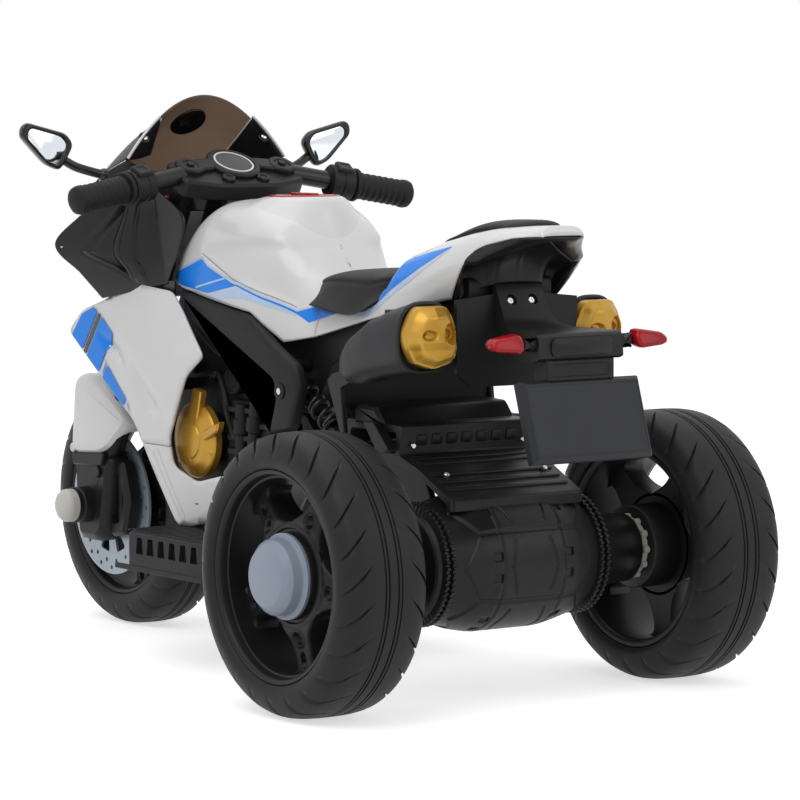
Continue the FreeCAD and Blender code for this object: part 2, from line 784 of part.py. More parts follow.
def fork_leg():
    boss = across(front_axle_x, wheel_radius, 50, 100, 22)
    cap = leg_rod(leg_cap_radius, clamp_high, cap_top)
    leg = fused([leg_rod(), fork_lower(), boss, cap])
    return leg.cut(across(front_axle_x, wheel_radius, 40, 110, axle_radius + 0.02))


def bar_point(side):
    """The bar sweeps back and droops towards its ends."""
    share = (side - grip_inner_y) / (grip_outer_y - grip_inner_y)
    return on_fork(444 - 7 * share, -10.4 - 16.2 * share, side)


def upper_clamp():
    half = [(44, 0), (40, 40), (32, 84), (-16, 84), (-28, 40)]
    points = half + [(ahead, -side) for ahead, side in half[:0:-1]]
    body = fork_plate(points, clamp_low, clamp_high)
    badge_boss = rod(on_fork(clamp_high - 1, 18), on_fork(462, 18), 31)
    body = fused([body, badge_boss])
    body = body.cut(rod(on_fork(400), on_fork(clamp_high - 6), stem_radius))
    return body.cut(both_legs()).cut(handlebar())


def handlebar():
    """Left and right bar, each butted against its fork leg and the cap on top of it."""
    bar = rod(bar_point(70), bar_point(grip_outer_y - 3), bar_radius)
    bar = bar.cut(leg_rod()).cut(leg_rod(leg_cap_radius, clamp_high, cap_top))
    return both_sides(largest(bar))


def grip():
    body = tube(bar_point(grip_inner_y), bar_point(grip_outer_y - 3), grip_radius, bar_radius)
    end = rod(bar_point(grip_outer_y - 3), bar_point(grip_outer_y), grip_radius)
    return fused([body, end])


def switch_housing():
    ring = rod(bar_point(128), bar_point(155), 20)
    pod = rod(bar_point(134) + steer_up * 14, bar_point(150) + steer_up * 14, 10)
    body = fused([ring, pod])
    return body.cut(rod(bar_point(120), bar_point(160), bar_radius))


def front_fender():
    cover = plate(fender_profile, 47, 86, 10)
    room = [(x, z - wall) for x, z in fender_profile[:1]]
    room += [(405, 190), (330, 190), (272, 258), (342, 304)]
    cover = cover.cut(plate(room, 47 + wall, 86 - wall, 6))
    cover = cover.cut(across(front_axle_x, wheel_radius, 40, 60, wheel_radius + 3))
    arch = ring_across(front_axle_x, wheel_radius, -48, 48, fender_outer, fender_inner)
    arch = arch.common(plate([(268, 262), (268, 340), (404, 340), (404, 262)], -60, 60, 1))
    body = fused([cover, mirrored(cover), arch]).cut(both_legs())
    return body.cut(fork_lower()).cut(mirrored(fork_lower()))


def axle_cap():
    points = [(0, 100), (20, 100), (20, 112), (14, 118), (0, 118)]
    return turned(points, front_axle_x, wheel_radius, 2)


# Nose: cowl, liner, headlights, windscreen, dash and mirrors

nose_stations = [
    (238, 130, 114, 416, 592), (300, 166, 140, 416, 566), (360, 128, 110, 412, 524), (410, 80, 66, 414, 482),
    (440, 34, 28, 428, 452)]
nose_power = 2.1
mirror_ball = Vector(255, 124, 553)
ball_radius = 8.0
dash_top = 524.0
button_x = 264.0
button_y = 32.0
button_radius = 8.0
rocker_pin_z = 520.0
rocker_pin_radius = 1.5


def steering_room():
    """Space that the fork legs sweep when the bar turns."""
    sweep = rod(on_fork(170), on_fork(490), 86)
    return sweep.cut(box((0, -34, 200), (500, 34, 700)))


def nose_shell():
    inner = [(x, low - wall, top - wall, z_low + wall, z_top - wall)
             for x, low, top, z_low, z_top in nose_stations]
    inner[0] = (inner[0][0] - 1,) + inner[0][1:]
    inner[-1] = (inner[-1][0] - wall,) + inner[-1][1:]
    return loft(nose_stations, nose_power).cut(loft(inner, nose_power))


def lamp_region(margin):
    face = [(26 - margin, 452), (30 - margin, 484 + margin), (96 + margin, 500 + margin),
            (112 + margin, 478), (70, 452 - margin)]
    wire = Part.makePolygon([Vector(330, y, z) for y, z in face + face[:1]])
    region = Part.Face(wire).extrude(Vector(140, 0, 0))
    return region.fuse(mirrored(region))


def behind_nose_rim():
    """Space cut from the nose so that its rear rim sweeps forward at mid height."""
    return plate([(150, 620), (234, 596), (250, 520), (306, 474), (322, 404), (150, 400)], -200, 200, 6)


def reach_left(solid, x, z):
    """Half-width of a solid at one place, measured along a line to the left."""
    ray = Part.makeLine(Vector(x, 0, z), Vector(x, 300, z)).common(solid)
    return max(vertex.Y for vertex in ray.Vertexes)


def mirror_socket(radius):
    return rod(Vector(255, 88, 550), mirror_ball - Vector(0, 2, 0), radius)


def mirror_pin(gap):
    """Upright pin through the mirror's ball, on the axis that the mirror turns about."""
    half = Vector(0, 0, ball_radius + 1.2 + gap)
    return rod(mirror_ball - half, mirror_ball + half, 1.6 + gap)


def nose_fairing():
    socket = mirror_socket(10).cut(loft(nose_stations, nose_power))
    socket = socket.cut(Part.makeSphere(ball_radius + body_gap, mirror_ball)).cut(mirror_pin(body_gap))
    body = nose_shell().cut(lamp_region(0.2)).cut(steering_room()).cut(behind_nose_rim())
    return fused([body, socket, mirrored(socket)])


def headlight():
    return nose_shell().common(lamp_region(0))


liner_edge = [(238, 580), (252, 520), (304, 474)]
liner_foot = Vector(264, 119, 412)
liner_inside = [(222, 92, 562), (186, 93, 512), (170, 95, 462), (152, 101, 428)]
stay_profile = [(238, 440), (208, 498), (300, 506), (445, 470), (445, 436)]


def cowl_liner():
    """Dished black panels between the nose rim and the tank, and the stay that carries the nose."""
    outer_nose = loft(nose_stations, nose_power)
    dish = Vector(12, 0, 0)
    edges = [Vector(x, reach_left(outer_nose, x, z) - wall - 1.5, z) for x, z in liner_edge]
    rows = []
    for edge, inner in zip(edges + [liner_foot], liner_inside):
        inside = Vector(*inner)
        rows.append([edge, (edge + inside) * 0.5 + dish, inside])
    panel = sheet(rows, wall).cut(steering_room()).cut(nose_shell()).cut(fairing_whole())
    stay = plate(stay_profile, -12, 12, 4)
    stay = stay.common(outer_nose.fuse(box((150, -12, 400), (240, 12, 520))))
    stay = stay.cut(nose_shell()).cut(rod(on_fork(200), on_fork(460), head_radius))
    panel = largest(panel)
    return Part.Compound([panel, mirrored(panel), largest(stay)])


def dash_panel():
    body = plate([(240, 508), (240, dash_top), (292, dash_top), (292, 507)], -72, 72, 2)
    stay = plate(stay_profile, -12, 12, 4)
    button_well = rod(Vector(button_x, button_y, 511), Vector(button_x, button_y, 530), button_radius + 0.3)
    rocker_well = box((button_x - 13, -button_y - 6.5, 511), (button_x + 13, -button_y + 6.5, 530))
    rocker_pin = across(button_x, rocker_pin_z, -button_y - 8, -button_y + 8, rocker_pin_radius)
    return body.cut(stay).cut(button_well).cut(rocker_well).fuse(rocker_pin)


def start_button():
    base = Vector(button_x, button_y, 514)
    button = rod(base, base + Vector(0, 0, dash_top + 3 - 514), button_radius)
    return button.makeFillet(1, [button.Edges[0]])


def direction_rocker():
    x = button_x
    profile = [(x - 10, 516), (x - 11, dash_top + 4), (x, dash_top + 1), (x + 11, dash_top + 4), (x + 10, 516)]
    bore = across(x, rocker_pin_z, -button_y - 6, -button_y + 6, rocker_pin_radius + running_gap)
    return plate(profile, -button_y - 5.5, -button_y + 5.5, 1).cut(bore)


def windscreen():
    rows = []
    arches = [(230, -2, 647, 76, 108), (283, 4, 612, 62, 108), (338, 4, 556, 30, 94)]
    for x_mid, x_drop, z_mid, z_drop, half in arches:
        row = []
        for share in (-1, -0.5, 0, 0.5, 1):
            row.append(Vector(x_mid + x_drop * share ** 2, half * share, z_mid - z_drop * share ** 2))
        rows.append(row)
    sockets = both_sides(mirror_socket(10.4))
    return sheet(rows, 2.5).cut(loft(nose_stations, nose_power)).cut(sockets)


def mirror_unit():
    glass_centre = Vector(268, 198, 587)
    ball = Part.makeSphere(ball_radius, mirror_ball)
    stalk = rod(mirror_ball, Vector(266, 176, 574), 5.5)
    outline_yz = [(-36, 2), (-26, 15), (26, 28), (33, 23), (34, 12), (0, -22), (-16, -28), (-24, -20)]
    corners = [glass_centre + Vector(-9, y, z) for y, z in outline_yz]
    housing = Part.Face(Part.makePolygon(corners + corners[:1])).extrude(Vector(18, 0, 0))
    return fused([ball, mirror_pin(0), stalk, housing])


# Fasteners

def body_screws():
    heads = []
    for side in (-1, 1):
        centre = Vector(-78, 92 * side, 318)
        heads.append(rod(centre, centre + left * (4 * side), 3.5))
    return Part.Compound(heads)


def footrests():
    """Left and right footrest; the right one is lower and carries the hinge of the foot pedal."""
    lugs = [plate([(-18, 149), (-2, 149), (-4, 162), (-16, 162)], y, y + 4, 2) for y in (-182.5, -111.5)]
    pin = across(pedal_pivot.x, pedal_pivot.z, -182, -108, 2.45)
    right = fused([mirrored(footrest(False))] + lugs + [pin])
    return Part.Compound([footrest(True), right])


def rear_axle():
    return across(rear_axle_x, wheel_radius, -hub_outer_y - 10, hub_outer_y + 10, axle_radius)


def front_axle():
    return across(front_axle_x, wheel_radius, -100, 100, axle_radius)


# Every node, by name

def build():
    os.makedirs("parts", exist_ok=True)
    singles = {
        "battery": battery, "control_box": control_box, "tank_cover": tank_cover,
        "filler_cap": filler_cap, "tail_cover": tail_cover, "under_tail": under_tail, "seat_pad": seat_pad,
        "pillion_pad": pillion_pad, "tail_bracket": tail_bracket, "number_plate": number_plate,
        "swing_arm": swing_arm, "rear_deck": rear_deck, "rear_axle": rear_axle, "front_axle": front_axle,
        "steering_stem": steering_stem, "upper_clamp": upper_clamp, "handlebar": handlebar,
        "front_fender": front_fender, "nose_fairing": nose_fairing, "cowl_liner": cowl_liner,
        "headlight": headlight, "dash_panel": dash_panel, "start_button": start_button,
        "direction_rocker": direction_rocker, "windscreen": windscreen, "body_screws": body_screws,
        "footrests": footrests, "foot_pedal": foot_pedal, "exhaust_tips": exhaust_tips}
    pairs_in_one_node = {
        "frame_halves": frame_half, "engine_covers": engine_cover, "clutch_covers": clutch_cover,
        "side_arms": side_arm, "belly_pans": belly_pan, "signal_lenses": signal_lens,
        "exhausts": exhaust, "shock_springs": shock_spring,
        "axle_housing": axle_housing_half, "motors": motor, "fork_legs": fork_leg, "grips": grip,
        "switch_housings": switch_housing, "axle_caps": axle_cap, "brake_discs": brake_disc}
    left_and_right = {
        "side_fairing": side_fairing, "rear_rim": rear_rim, "rear_tyre": rear_tyre,
        "hub_cap": hub_cap, "drive_gear": drive_gear, "pinion": pinion, "mirror": mirror_unit}
    for name, make in singles.items():
        export(name, make())
    for name, make in pairs_in_one_node.items():
        export(name, both_sides(make()))
    for name, make in left_and_right.items():
        shape = make()
        export(name + "_left", shape)
        export(name + "_right", mirrored(shape))
    export("front_tyre", tyre(front_axle_x, front_tyre_width / 2))
    hub_half = disc_y - disc_half_thickness
    export("front_rim", rim(front_axle_x, front_tyre_width / 2, -12, 12, -hub_half, hub_half))


build()
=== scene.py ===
import math

import bmesh
import bpy
from mathutils import Matrix, Vector, geometry


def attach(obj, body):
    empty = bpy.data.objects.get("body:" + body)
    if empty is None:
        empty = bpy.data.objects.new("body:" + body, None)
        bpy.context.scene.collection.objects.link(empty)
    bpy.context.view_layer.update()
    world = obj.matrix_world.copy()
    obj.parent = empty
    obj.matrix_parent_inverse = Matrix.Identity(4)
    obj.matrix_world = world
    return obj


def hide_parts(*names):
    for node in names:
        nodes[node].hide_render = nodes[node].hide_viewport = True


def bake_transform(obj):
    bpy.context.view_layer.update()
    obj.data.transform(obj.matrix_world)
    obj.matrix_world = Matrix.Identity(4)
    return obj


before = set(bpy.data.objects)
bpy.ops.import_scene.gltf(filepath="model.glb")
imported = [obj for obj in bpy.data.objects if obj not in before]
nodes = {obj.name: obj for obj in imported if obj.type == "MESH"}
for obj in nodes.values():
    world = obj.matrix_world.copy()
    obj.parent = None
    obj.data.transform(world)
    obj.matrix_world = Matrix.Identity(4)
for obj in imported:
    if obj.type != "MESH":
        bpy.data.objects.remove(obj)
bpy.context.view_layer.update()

# Looks of a kids' electric motorbike with one front wheel and two rear wheels.
# Points are written in millimetres in the part's frame (+X forward, +Y left, +Z up).
mm = 0.001

# Camera that sees the object from behind its left side
camera_place = Vector((-3.68805, 2.49827, 0.65998))
camera_ahead = Vector((0.812516, -0.577289, -0.080965))
camera_lens = 175.15


def add_camera():
    data = bpy.data.cameras.new("camera")
    data.sensor_width = 36
    data.lens = camera_lens
    data.clip_end = 50
    camera = bpy.data.objects.new("camera", data)
    bpy.context.scene.collection.objects.link(camera)
    ahead = camera_ahead.normalized()
    right = ahead.cross(Vector((0, 0, 1))).normalized()
    up = right.cross(ahead)
    turn = Matrix((right, up, -ahead)).transposed()
    camera.matrix_world = Matrix.Translation(camera_place) @ turn.to_4x4()
    bpy.context.scene.camera = camera


# Studio: white surroundings, soft lamps and a pale floor
surround_light = 0.5
floor_glow = 0.62
# Lamps: name, place, what it points at, size, power
lamps = [
    ("key", (-1.6, 2.4, 3.4), (0, 0, 0.3), (2.4, 2.4), 46),
    ("fill", (-3.2, -1.6, 2.0), (0, 0, 0.3), (2.0, 2.0), 18),
    ("top", (0.6, 0.2, 4.0), (0, 0, 0.2), (3.0, 3.0), 30)]


def add_world():
    world = bpy.data.worlds.new("studio")
    bpy.context.scene.world = world
    world.use_nodes = True
    tree = world.node_tree
    tree.nodes.clear()
    output = tree.nodes.new("ShaderNodeOutputWorld")
    seen = tree.nodes.new("ShaderNodeBackground")
    seen.inputs["Color"].default_value = (1, 1, 1, 1)
    seen.inputs["Strength"].default_value = 1.0
    lighting = tree.nodes.new("ShaderNodeBackground")
    lighting.inputs["Color"].default_value = (1, 1, 1, 1)
    lighting.inputs["Strength"].default_value = surround_light
    mix = tree.nodes.new("ShaderNodeMixShader")
    tree.links.new(white_rays(tree), mix.inputs[0])
    tree.links.new(lighting.outputs[0], mix.inputs[1])
    tree.links.new(seen.outputs[0], mix.inputs[2])
    tree.links.new(mix.outputs[0], output.inputs["Surface"])


def white_rays(tree):
    """One for rays that show the white surroundings: camera, glossy and transmission."""
    path = tree.nodes.new("ShaderNodeLightPath")
    total = path.outputs["Is Camera Ray"]
    for name in ("Is Glossy Ray", "Is Transmission Ray"):
        add = tree.nodes.new("ShaderNodeMath")
        add.operation = "ADD"
        add.use_clamp = True
        tree.links.new(total, add.inputs[0])
        tree.links.new(path.outputs[name], add.inputs[1])
        total = add.outputs[0]
    return total


def add_lamp(name, place, target, size, power):
    data = bpy.data.lights.new(name, "AREA")
    data.shape = "RECTANGLE"
    data.size, data.size_y = size
    data.energy = power
    lamp = bpy.data.objects.new(name, data)
    bpy.context.scene.collection.objects.link(lamp)
    lamp.location = place
    aim = Vector(target) - Vector(place)
    lamp.rotation_euler = aim.to_track_quat("-Z", "Y").to_euler()


def add_floor():
    mesh = bpy.data.meshes.new("floor")
    half = 12
    corners = [(-half, -half, 0), (half, -half, 0), (half, half, 0), (-half, half, 0)]
    mesh.from_pydata(corners, [], [(0, 1, 2, 3)])
    floor = bpy.data.objects.new("floor", mesh)
    bpy.context.scene.collection.objects.link(floor)
    material = bpy.data.materials.new("pale_floor")
    material.use_nodes = True
    tree = material.node_tree
    tree.nodes.clear()
    output = tree.nodes.new("ShaderNodeOutputMaterial")
    matt = tree.nodes.new("ShaderNodeBsdfDiffuse")
    matt.inputs["Color"].default_value = (0.8, 0.8, 0.8, 1)
    glow = tree.nodes.new("ShaderNodeEmission")
    glow.inputs["Color"].default_value = (1, 1, 1, 1)
    share = tree.nodes.new("ShaderNodeMath")
    share.operation = "MULTIPLY"
    share.inputs[1].default_value = floor_glow
    both = tree.nodes.new("ShaderNodeAddShader")
    tree.links.new(white_rays(tree), share.inputs[0])
    tree.links.new(share.outputs[0], glow.inputs["Strength"])
    tree.links.new(matt.outputs[0], both.inputs[0])
    tree.links.new(glow.outputs[0], both.inputs[1])
    tree.links.new(both.outputs[0], output.inputs["Surface"])
    mesh.materials.append(material)


# Materials: each is a shader with its own small-scale variation

def shader_tree(name):
    material = bpy.data.materials.new(name)
    material.use_nodes = True
    tree = material.node_tree
    return material, tree, tree.nodes["Principled BSDF"]


def object_noise(tree, scale, detail=3.0):
    """Noise that is fixed to the piece, with scale in cycles per metre."""
    place = tree.nodes.new("ShaderNodeTexCoord")
    noise = tree.nodes.new("ShaderNodeTexNoise")
    noise.inputs["Scale"].default_value = scale
    noise.inputs["Detail"].default_value = detail
    tree.links.new(place.outputs["Object"], noise.inputs["Vector"])
    return noise.outputs["Fac"]


def ramp(tree, value, stops):
    node = tree.nodes.new("ShaderNodeValToRGB")
    elements = node.color_ramp.elements
    while len(elements) < len(stops):
        elements.new(0.5)
    for element, (position, colour) in zip(elements, stops):
        element.position = position
        element.color = (*colour, 1)
    tree.links.new(value, node.inputs[0])
    return node.outputs["Color"]


def vary_roughness(tree, shader, value, low, high):
    node = tree.nodes.new("ShaderNodeMapRange")
    node.inputs["To Min"].default_value = low
    node.inputs["To Max"].default_value = high
    tree.links.new(value, node.inputs["Value"])
    tree.links.new(node.outputs[0], shader.inputs["Roughness"])


def add_bump(tree, shader, value, depth):
    """Small relief, with depth in millimetres."""
    node = tree.nodes.new("ShaderNodeBump")
    node.inputs["Distance"].default_value = depth * mm
    node.inputs["Strength"].default_value = 1.0
    tree.links.new(value, node.inputs["Height"])
    tree.links.new(node.outputs["Normal"], shader.inputs["Normal"])


def shaded(colour, factor):
    return tuple(min(1.0, part * factor) for part in colour)


def plastic(name, colour, roughness, grain=0.0, grain_scale=900, coat=0.0, vary=0.06, metal=0.0, gloss=0.5):
    """Moulded plastic: faint mottling, uneven gloss and, where wanted, a fine grain."""
    material, tree, shader = shader_tree(name)
    broad = object_noise(tree, 14)
    tint = ramp(tree, broad, [(0.3, shaded(colour, 1 - vary)), (0.7, shaded(colour, 1 + vary))])
    tree.links.new(tint, shader.inputs["Base Color"])
    vary_roughness(tree, shader, object_noise(tree, 60), roughness - 0.05, roughness + 0.05)
    if grain:
        add_bump(tree, shader, object_noise(tree, grain_scale, 2.0), grain)
    shader.inputs["Coat Weight"].default_value = coat
    shader.inputs["Coat Roughness"].default_value = 0.08
    shader.inputs["Metallic"].default_value = metal
    shader.inputs["Specular IOR Level"].default_value = gloss
    return material


# Mesh construction: a part is a list of points and a list of faces

def join_parts(*parts):
    points, faces = [], []
    for more_points, more_faces in parts:
        start = len(points)
        points += more_points
        faces += [tuple(index + start for index in face) for face in more_faces]
    return points, faces


def grid(rows, wrap=False, close=False):
    """Quads through rows of points; wrap joins a row's ends, close joins the last row to the first."""
    width = len(rows[0])
    count = len(rows)
    points = [tuple(point) for row in rows for point in row]
    faces = []
    for i in range(count if close else count - 1):
        for j in range(width if wrap else width - 1):
            after = (j + 1) % width
            below = (i + 1) % count
            faces.append((i * width + j, i * width + after, below * width + after, below * width + j))
    return points, faces


def capped(rows):
    """Closed skin through rings of points, with a flat cap on each end."""
    points, faces = grid(rows, wrap=True)
    width = len(rows[0])
    faces.append(tuple(range(width)))
    faces.append(tuple(range(len(points) - width, len(points))))
    return points, faces


def lift(u, v, w, along):
    return {"x": (w, u, v), "y": (u, w, v), "z": (u, v, w)}[along]


def prism(outline, low, high, along="y"):
    return capped([[lift(u, v, w, along) for u, v in outline] for w in (low, high)])


def rounded(outline, corner, steps=4):
    """The outline with each corner replaced by a short arc."""
    result = []
    for index, here in enumerate(outline):
        here = Vector(here)
        before = Vector(outline[index - 1]) - here
        after = Vector(outline[(index + 1) % len(outline)]) - here
        cut = min(corner, 0.45 * before.length, 0.45 * after.length)
        start = here + before.normalized() * cut
        end = here + after.normalized() * cut
        for step in range(steps + 1):
            share = step / steps
            point = start * (1 - share) ** 2 + here * 2 * share * (1 - share) + end * share ** 2
            result.append(tuple(point))
    return result


def spun(profile, x, z, steps=64, y=0.0):
    """Skin turned about a line along Y; profile holds (radius, y)."""
    rows = []
    for step in range(steps):
        angle = 2 * math.pi * step / steps
        rows.append([(x + r * math.cos(angle), y + side, z + r * math.sin(angle)) for r, side in profile])
    return grid(rows, close=True)


def frame_of(direction):
    """Two directions square to the given one."""
    direction = Vector(direction).normalized()
    helper = Vector((0, 0, 1)) if abs(direction.z) < 0.9 else Vector((1, 0, 0))
    first = direction.cross(helper).normalized()
    return first, direction.cross(first)


def ring_at(centre, direction, radius, steps):
    first, second = frame_of(direction)
    centre = Vector(centre)
    return [tuple(centre + (first * math.cos(a) + second * math.sin(a)) * radius)
            for a in (2 * math.pi * step / steps for step in range(steps))]


def turned(stations, start, end, steps=28):
    """Turned bar from start to end; stations hold (distance from start, radius)."""
    start, end = Vector(start), Vector(end)
    direction = (end - start).normalized()
    return capped([ring_at(start + direction * distance, direction, max(radius, 0.01), steps)
                   for distance, radius in stations])


def rod(start, end, radius, edge=0.8, steps=24):
    """Round bar with softened ends."""
    length = (Vector(end) - Vector(start)).length
    edge = min(edge, radius * 0.5, length * 0.3)
    stations = [(0, radius - edge), (edge, radius), (length - edge, radius), (length, radius - edge)]
    return turned(stations, start, end, steps)


def swept(path, radius, steps=12):
    """Tube along a path of points."""
    path = [Vector(point) for point in path]
    first = frame_of(path[1] - path[0])[0]
    rows = []
    for index, here in enumerate(path):
        ahead = path[min(index + 1, len(path) - 1)] - path[max(index - 1, 0)]
        ahead.normalize()
        first = (first - ahead * first.dot(ahead)).normalized()
        second = ahead.cross(first)
        rows.append([tuple(here + (first * math.cos(a) + second * math.sin(a)) * radius)
                     for a in (2 * math.pi * step / steps for step in range(steps))])
    return capped(rows)


def block(low, high):
    (x0, y0, z0), (x1, y1, z1) = low, high
    return prism([(x0, z0), (x1, z0), (x1, z1), (x0, z1)], y0, y1)


def mirrored(part):
    points, faces = part
    return [(x, -y, z) for x, y, z in points], [face[::-1] for face in faces]


def both_sides(part):
    return join_parts(part, mirrored(part))


def unchanged(part):
    return part


sides = (("left", unchanged), ("right", mirrored))


def add_piece(name, part, body, material, replaces=(), sharp=38, bevel=0.0, thick=0.0, smooth=0):
    """Makes a mesh piece that rides on a body; thick and bevel are in millimetres, sharp in degrees."""
    points, faces = part
    mesh = bpy.data.meshes.new(name)
    mesh.from_pydata([Vector(point) * mm for point in points], [], faces)
    work = bmesh.new()
    work.from_mesh(mesh)
    bmesh.ops.remove_doubles(work, verts=work.verts, dist=0.00001)
    bmesh.ops.dissolve_degenerate(work, edges=work.edges, dist=0.00001)
    bmesh.ops.recalc_face_normals(work, faces=work.faces)
    work.to_mesh(mesh)
    work.free()
    for polygon in mesh.polygons:
        polygon.use_smooth = True
    mesh.set_sharp_from_angle(angle=math.radians(sharp))
    mesh.materials.append(material)
    piece = bpy.data.objects.new(name, mesh)
    bpy.context.scene.collection.objects.link(piece)
    if thick:
        solidify = piece.modifiers.new("thickness", "SOLIDIFY")
        solidify.thickness = thick * mm
        solidify.offset = -1
    if smooth:
        piece.modifiers.new("smooth", "SUBSURF").levels = smooth
        piece.modifiers["smooth"].render_levels = smooth
    if bevel:
        edges = piece.modifiers.new("edges", "BEVEL")
        edges.width = bevel * mm
        edges.segments = 3
        edges.limit_method = "ANGLE"
        edges.angle_limit = math.radians(sharp)
        edges.harden_normals = True
    if body:
        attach(piece, body)
    if replaces:
        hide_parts(*replaces)
    return piece


def finish_node(name, material):
    """Gives a node that stays as it is a better finish."""
    mesh = nodes[name].data
    mesh.materials.clear()
    mesh.materials.append(material)


def clamp(value, low=0.0, high=1.0):
    return max(low, min(high, value))


def ease(value, start, end):
    """Smooth step from 0 at start to 1 at end."""
    share = clamp((value - start) / (end - start))
    return share * share * (3 - 2 * share)


def between(table, place):
    """Rows of numbers keyed by their first entry, read at a place between rows along a smooth line."""
    keys = [row[0] for row in table]
    rising = keys[-1] > keys[0]
    index = 0
    while index < len(table) - 2 and (place > keys[index + 1]) == rising and place != keys[index + 1]:
        index += 1
    share = clamp((place - keys[index]) / (keys[index + 1] - keys[index]))
    p0 = table[max(index - 1, 0)][1:]
    p1 = table[index][1:]
    p2 = table[index + 1][1:]
    p3 = table[min(index + 2, len(table) - 1)][1:]
    result = []
    for a, b, c, d in zip(p0, p1, p2, p3):
        bend = (2 * a - 5 * b + 4 * c - d) * share ** 2 + (3 * (b - c) + d - a) * share ** 3
        result.append(b + 0.5 * ((c - a) * share + bend))
    return result


def inset(outline, distance):
    """The closed outline moved inwards by a distance."""
    area = sum(a[0] * b[1] - b[0] * a[1] for a, b in zip(outline, outline[1:] + outline[:1]))
    side = 1 if area > 0 else -1
    result = []
    for index, here in enumerate(outline):
        here = Vector(here)
        before = (here - Vector(outline[index - 1])).normalized()
        after = (Vector(outline[(index + 1) % len(outline)]) - here).normalized()
        normal = Vector((-before.y - after.y, before.x + after.x)) * side
        scale = distance / max(1 + before.dot(after), 0.4)
        result.append(tuple(here + normal * scale))
    return result


def slab(outline, layers, along="y", corner=4.0, steps=4):
    """Plate with shaped edges: layers hold (place along the axis, inset of the outline there)."""
    outline = rounded(outline, corner, steps)
    return capped([[lift(u, v, w, along) for u, v in inset(outline, cut)] for w, cut in layers])


def panel(centre, across, up, layers, corner=3.0):
    """Raised rectangular pad; layers hold (half width, half height, height over its base)."""
    centre, across, up = Vector(centre), Vector(across).normalized(), Vector(up).normalized()
    out = across.cross(up)
    rings = []
    for half, tall, height in layers:
        edge = rounded([(-half, -tall), (half, -tall), (half, tall), (-half, tall)], corner)
        rings.append([tuple(centre + across * u + up * v + out * height) for u, v in edge])
    return capped(rings)


def strip(stations):
    """Bar of box section along X and Z; stations hold (x, z, half width, x of its underside, z of it)."""
    rings = []
    for x, z, half, x_foot, z_foot in stations:
        rings.append([(x, -half, z), (x, half, z), (x_foot, half, z_foot), (x_foot, -half, z_foot)])
    return capped(rings)


def carved(part, *cutters):
    """The part with the cutters taken out of it."""
    objects = []
    for points, faces in (part,) + cutters:
        mesh = bpy.data.meshes.new("carving")
        mesh.from_pydata(points, [], faces)
        work = bmesh.new()
        work.from_mesh(mesh)
        bmesh.ops.recalc_face_normals(work, faces=work.faces)
        work.to_mesh(mesh)
        work.free()
        thing = bpy.data.objects.new("carving", mesh)
        bpy.context.scene.collection.objects.link(thing)
        objects.append(thing)
    for cutter in objects[1:]:
        cut = objects[0].modifiers.new("cut", "BOOLEAN")
        cut.object = cutter
        cut.solver = "EXACT"
    bpy.context.view_layer.update()
    result = objects[0].evaluated_get(bpy.context.evaluated_depsgraph_get()).to_mesh()
    points = [tuple(vertex.co) for vertex in result.vertices]
    faces = [tuple(polygon.vertices) for polygon in result.polygons]
    for thing in objects:
        bpy.data.objects.remove(thing)
    return points, faces


def ring_loft(stations, power, count, steps=48, centre_y=0.0):
    """Skin of softened-box rings; stations hold (x, half width low, half width high, z low, z high)."""
    rows = []
    for x in steps_between(stations[0][0], stations[-1][0], count):
        low, top, z_low, z_top = between(stations, x)
        ring = []
        for step in range(steps):
            angle = 2 * math.pi * step / steps
            side = math.copysign(abs(math.cos(angle)) ** (2 / power), math.cos(angle))
            up = math.copysign(abs(math.sin(angle)) ** (2 / power), math.sin(angle))
            half = low + (top - low) * (up + 1) / 2
            ring.append((x, centre_y + half * side, (z_low + z_top) / 2 + (z_top - z_low) / 2 * up))
        rows.append(ring)
    return rows


def steps_between(start, end, count):
    return [start + (end - start) * step / count for step in range(count + 1)]


# Wheels

wheel_radius = 150.0
rear_axle_x = -346.0
front_axle_x = 375.0
wheel_y = 237.0
rear_half = 53.0
front_half = 39.0
groove_count = 24
groove_sweep = 17.0
spoke_start = 46.0
spoke_count = 5
# Half of the tyre's section: place across, radius, groove width, groove depth
tread = [
    (0, 150, 0, 0), (4.6, 150, 0, 0), (5.1, 148.4, 0, 0), (6.3, 148.4, 0, 0), (6.8, 150, 0, 0),
    (9.0, 150, 0, 0), (9.5, 148.6, 0, 0), (10.7, 148.6, 0, 0), (11.2, 149.9, 0, 0), (20, 149.6, 0, 0),
    (24, 149.3, 0.8, 0.2), (27, 148.9, 2.0, 1.8), (32, 148.2, 3.4, 2.6), (37, 146.8, 4.6, 3.2),
    (42, 144.2, 5.6, 3.6), (45.5, 141.2, 6.2, 3.8), (48.2, 137.4, 6.0, 3.4), (50.4, 133, 4.6, 2.2),
    (52, 128.6, 2.6, 0.8), (53, 123.5, 0, 0), (52.4, 118.4, 0, 0), (50.6, 114.2, 0, 0),
    (47.6, 112.4, 0, 0), (43, 111.6, 0, 0)]


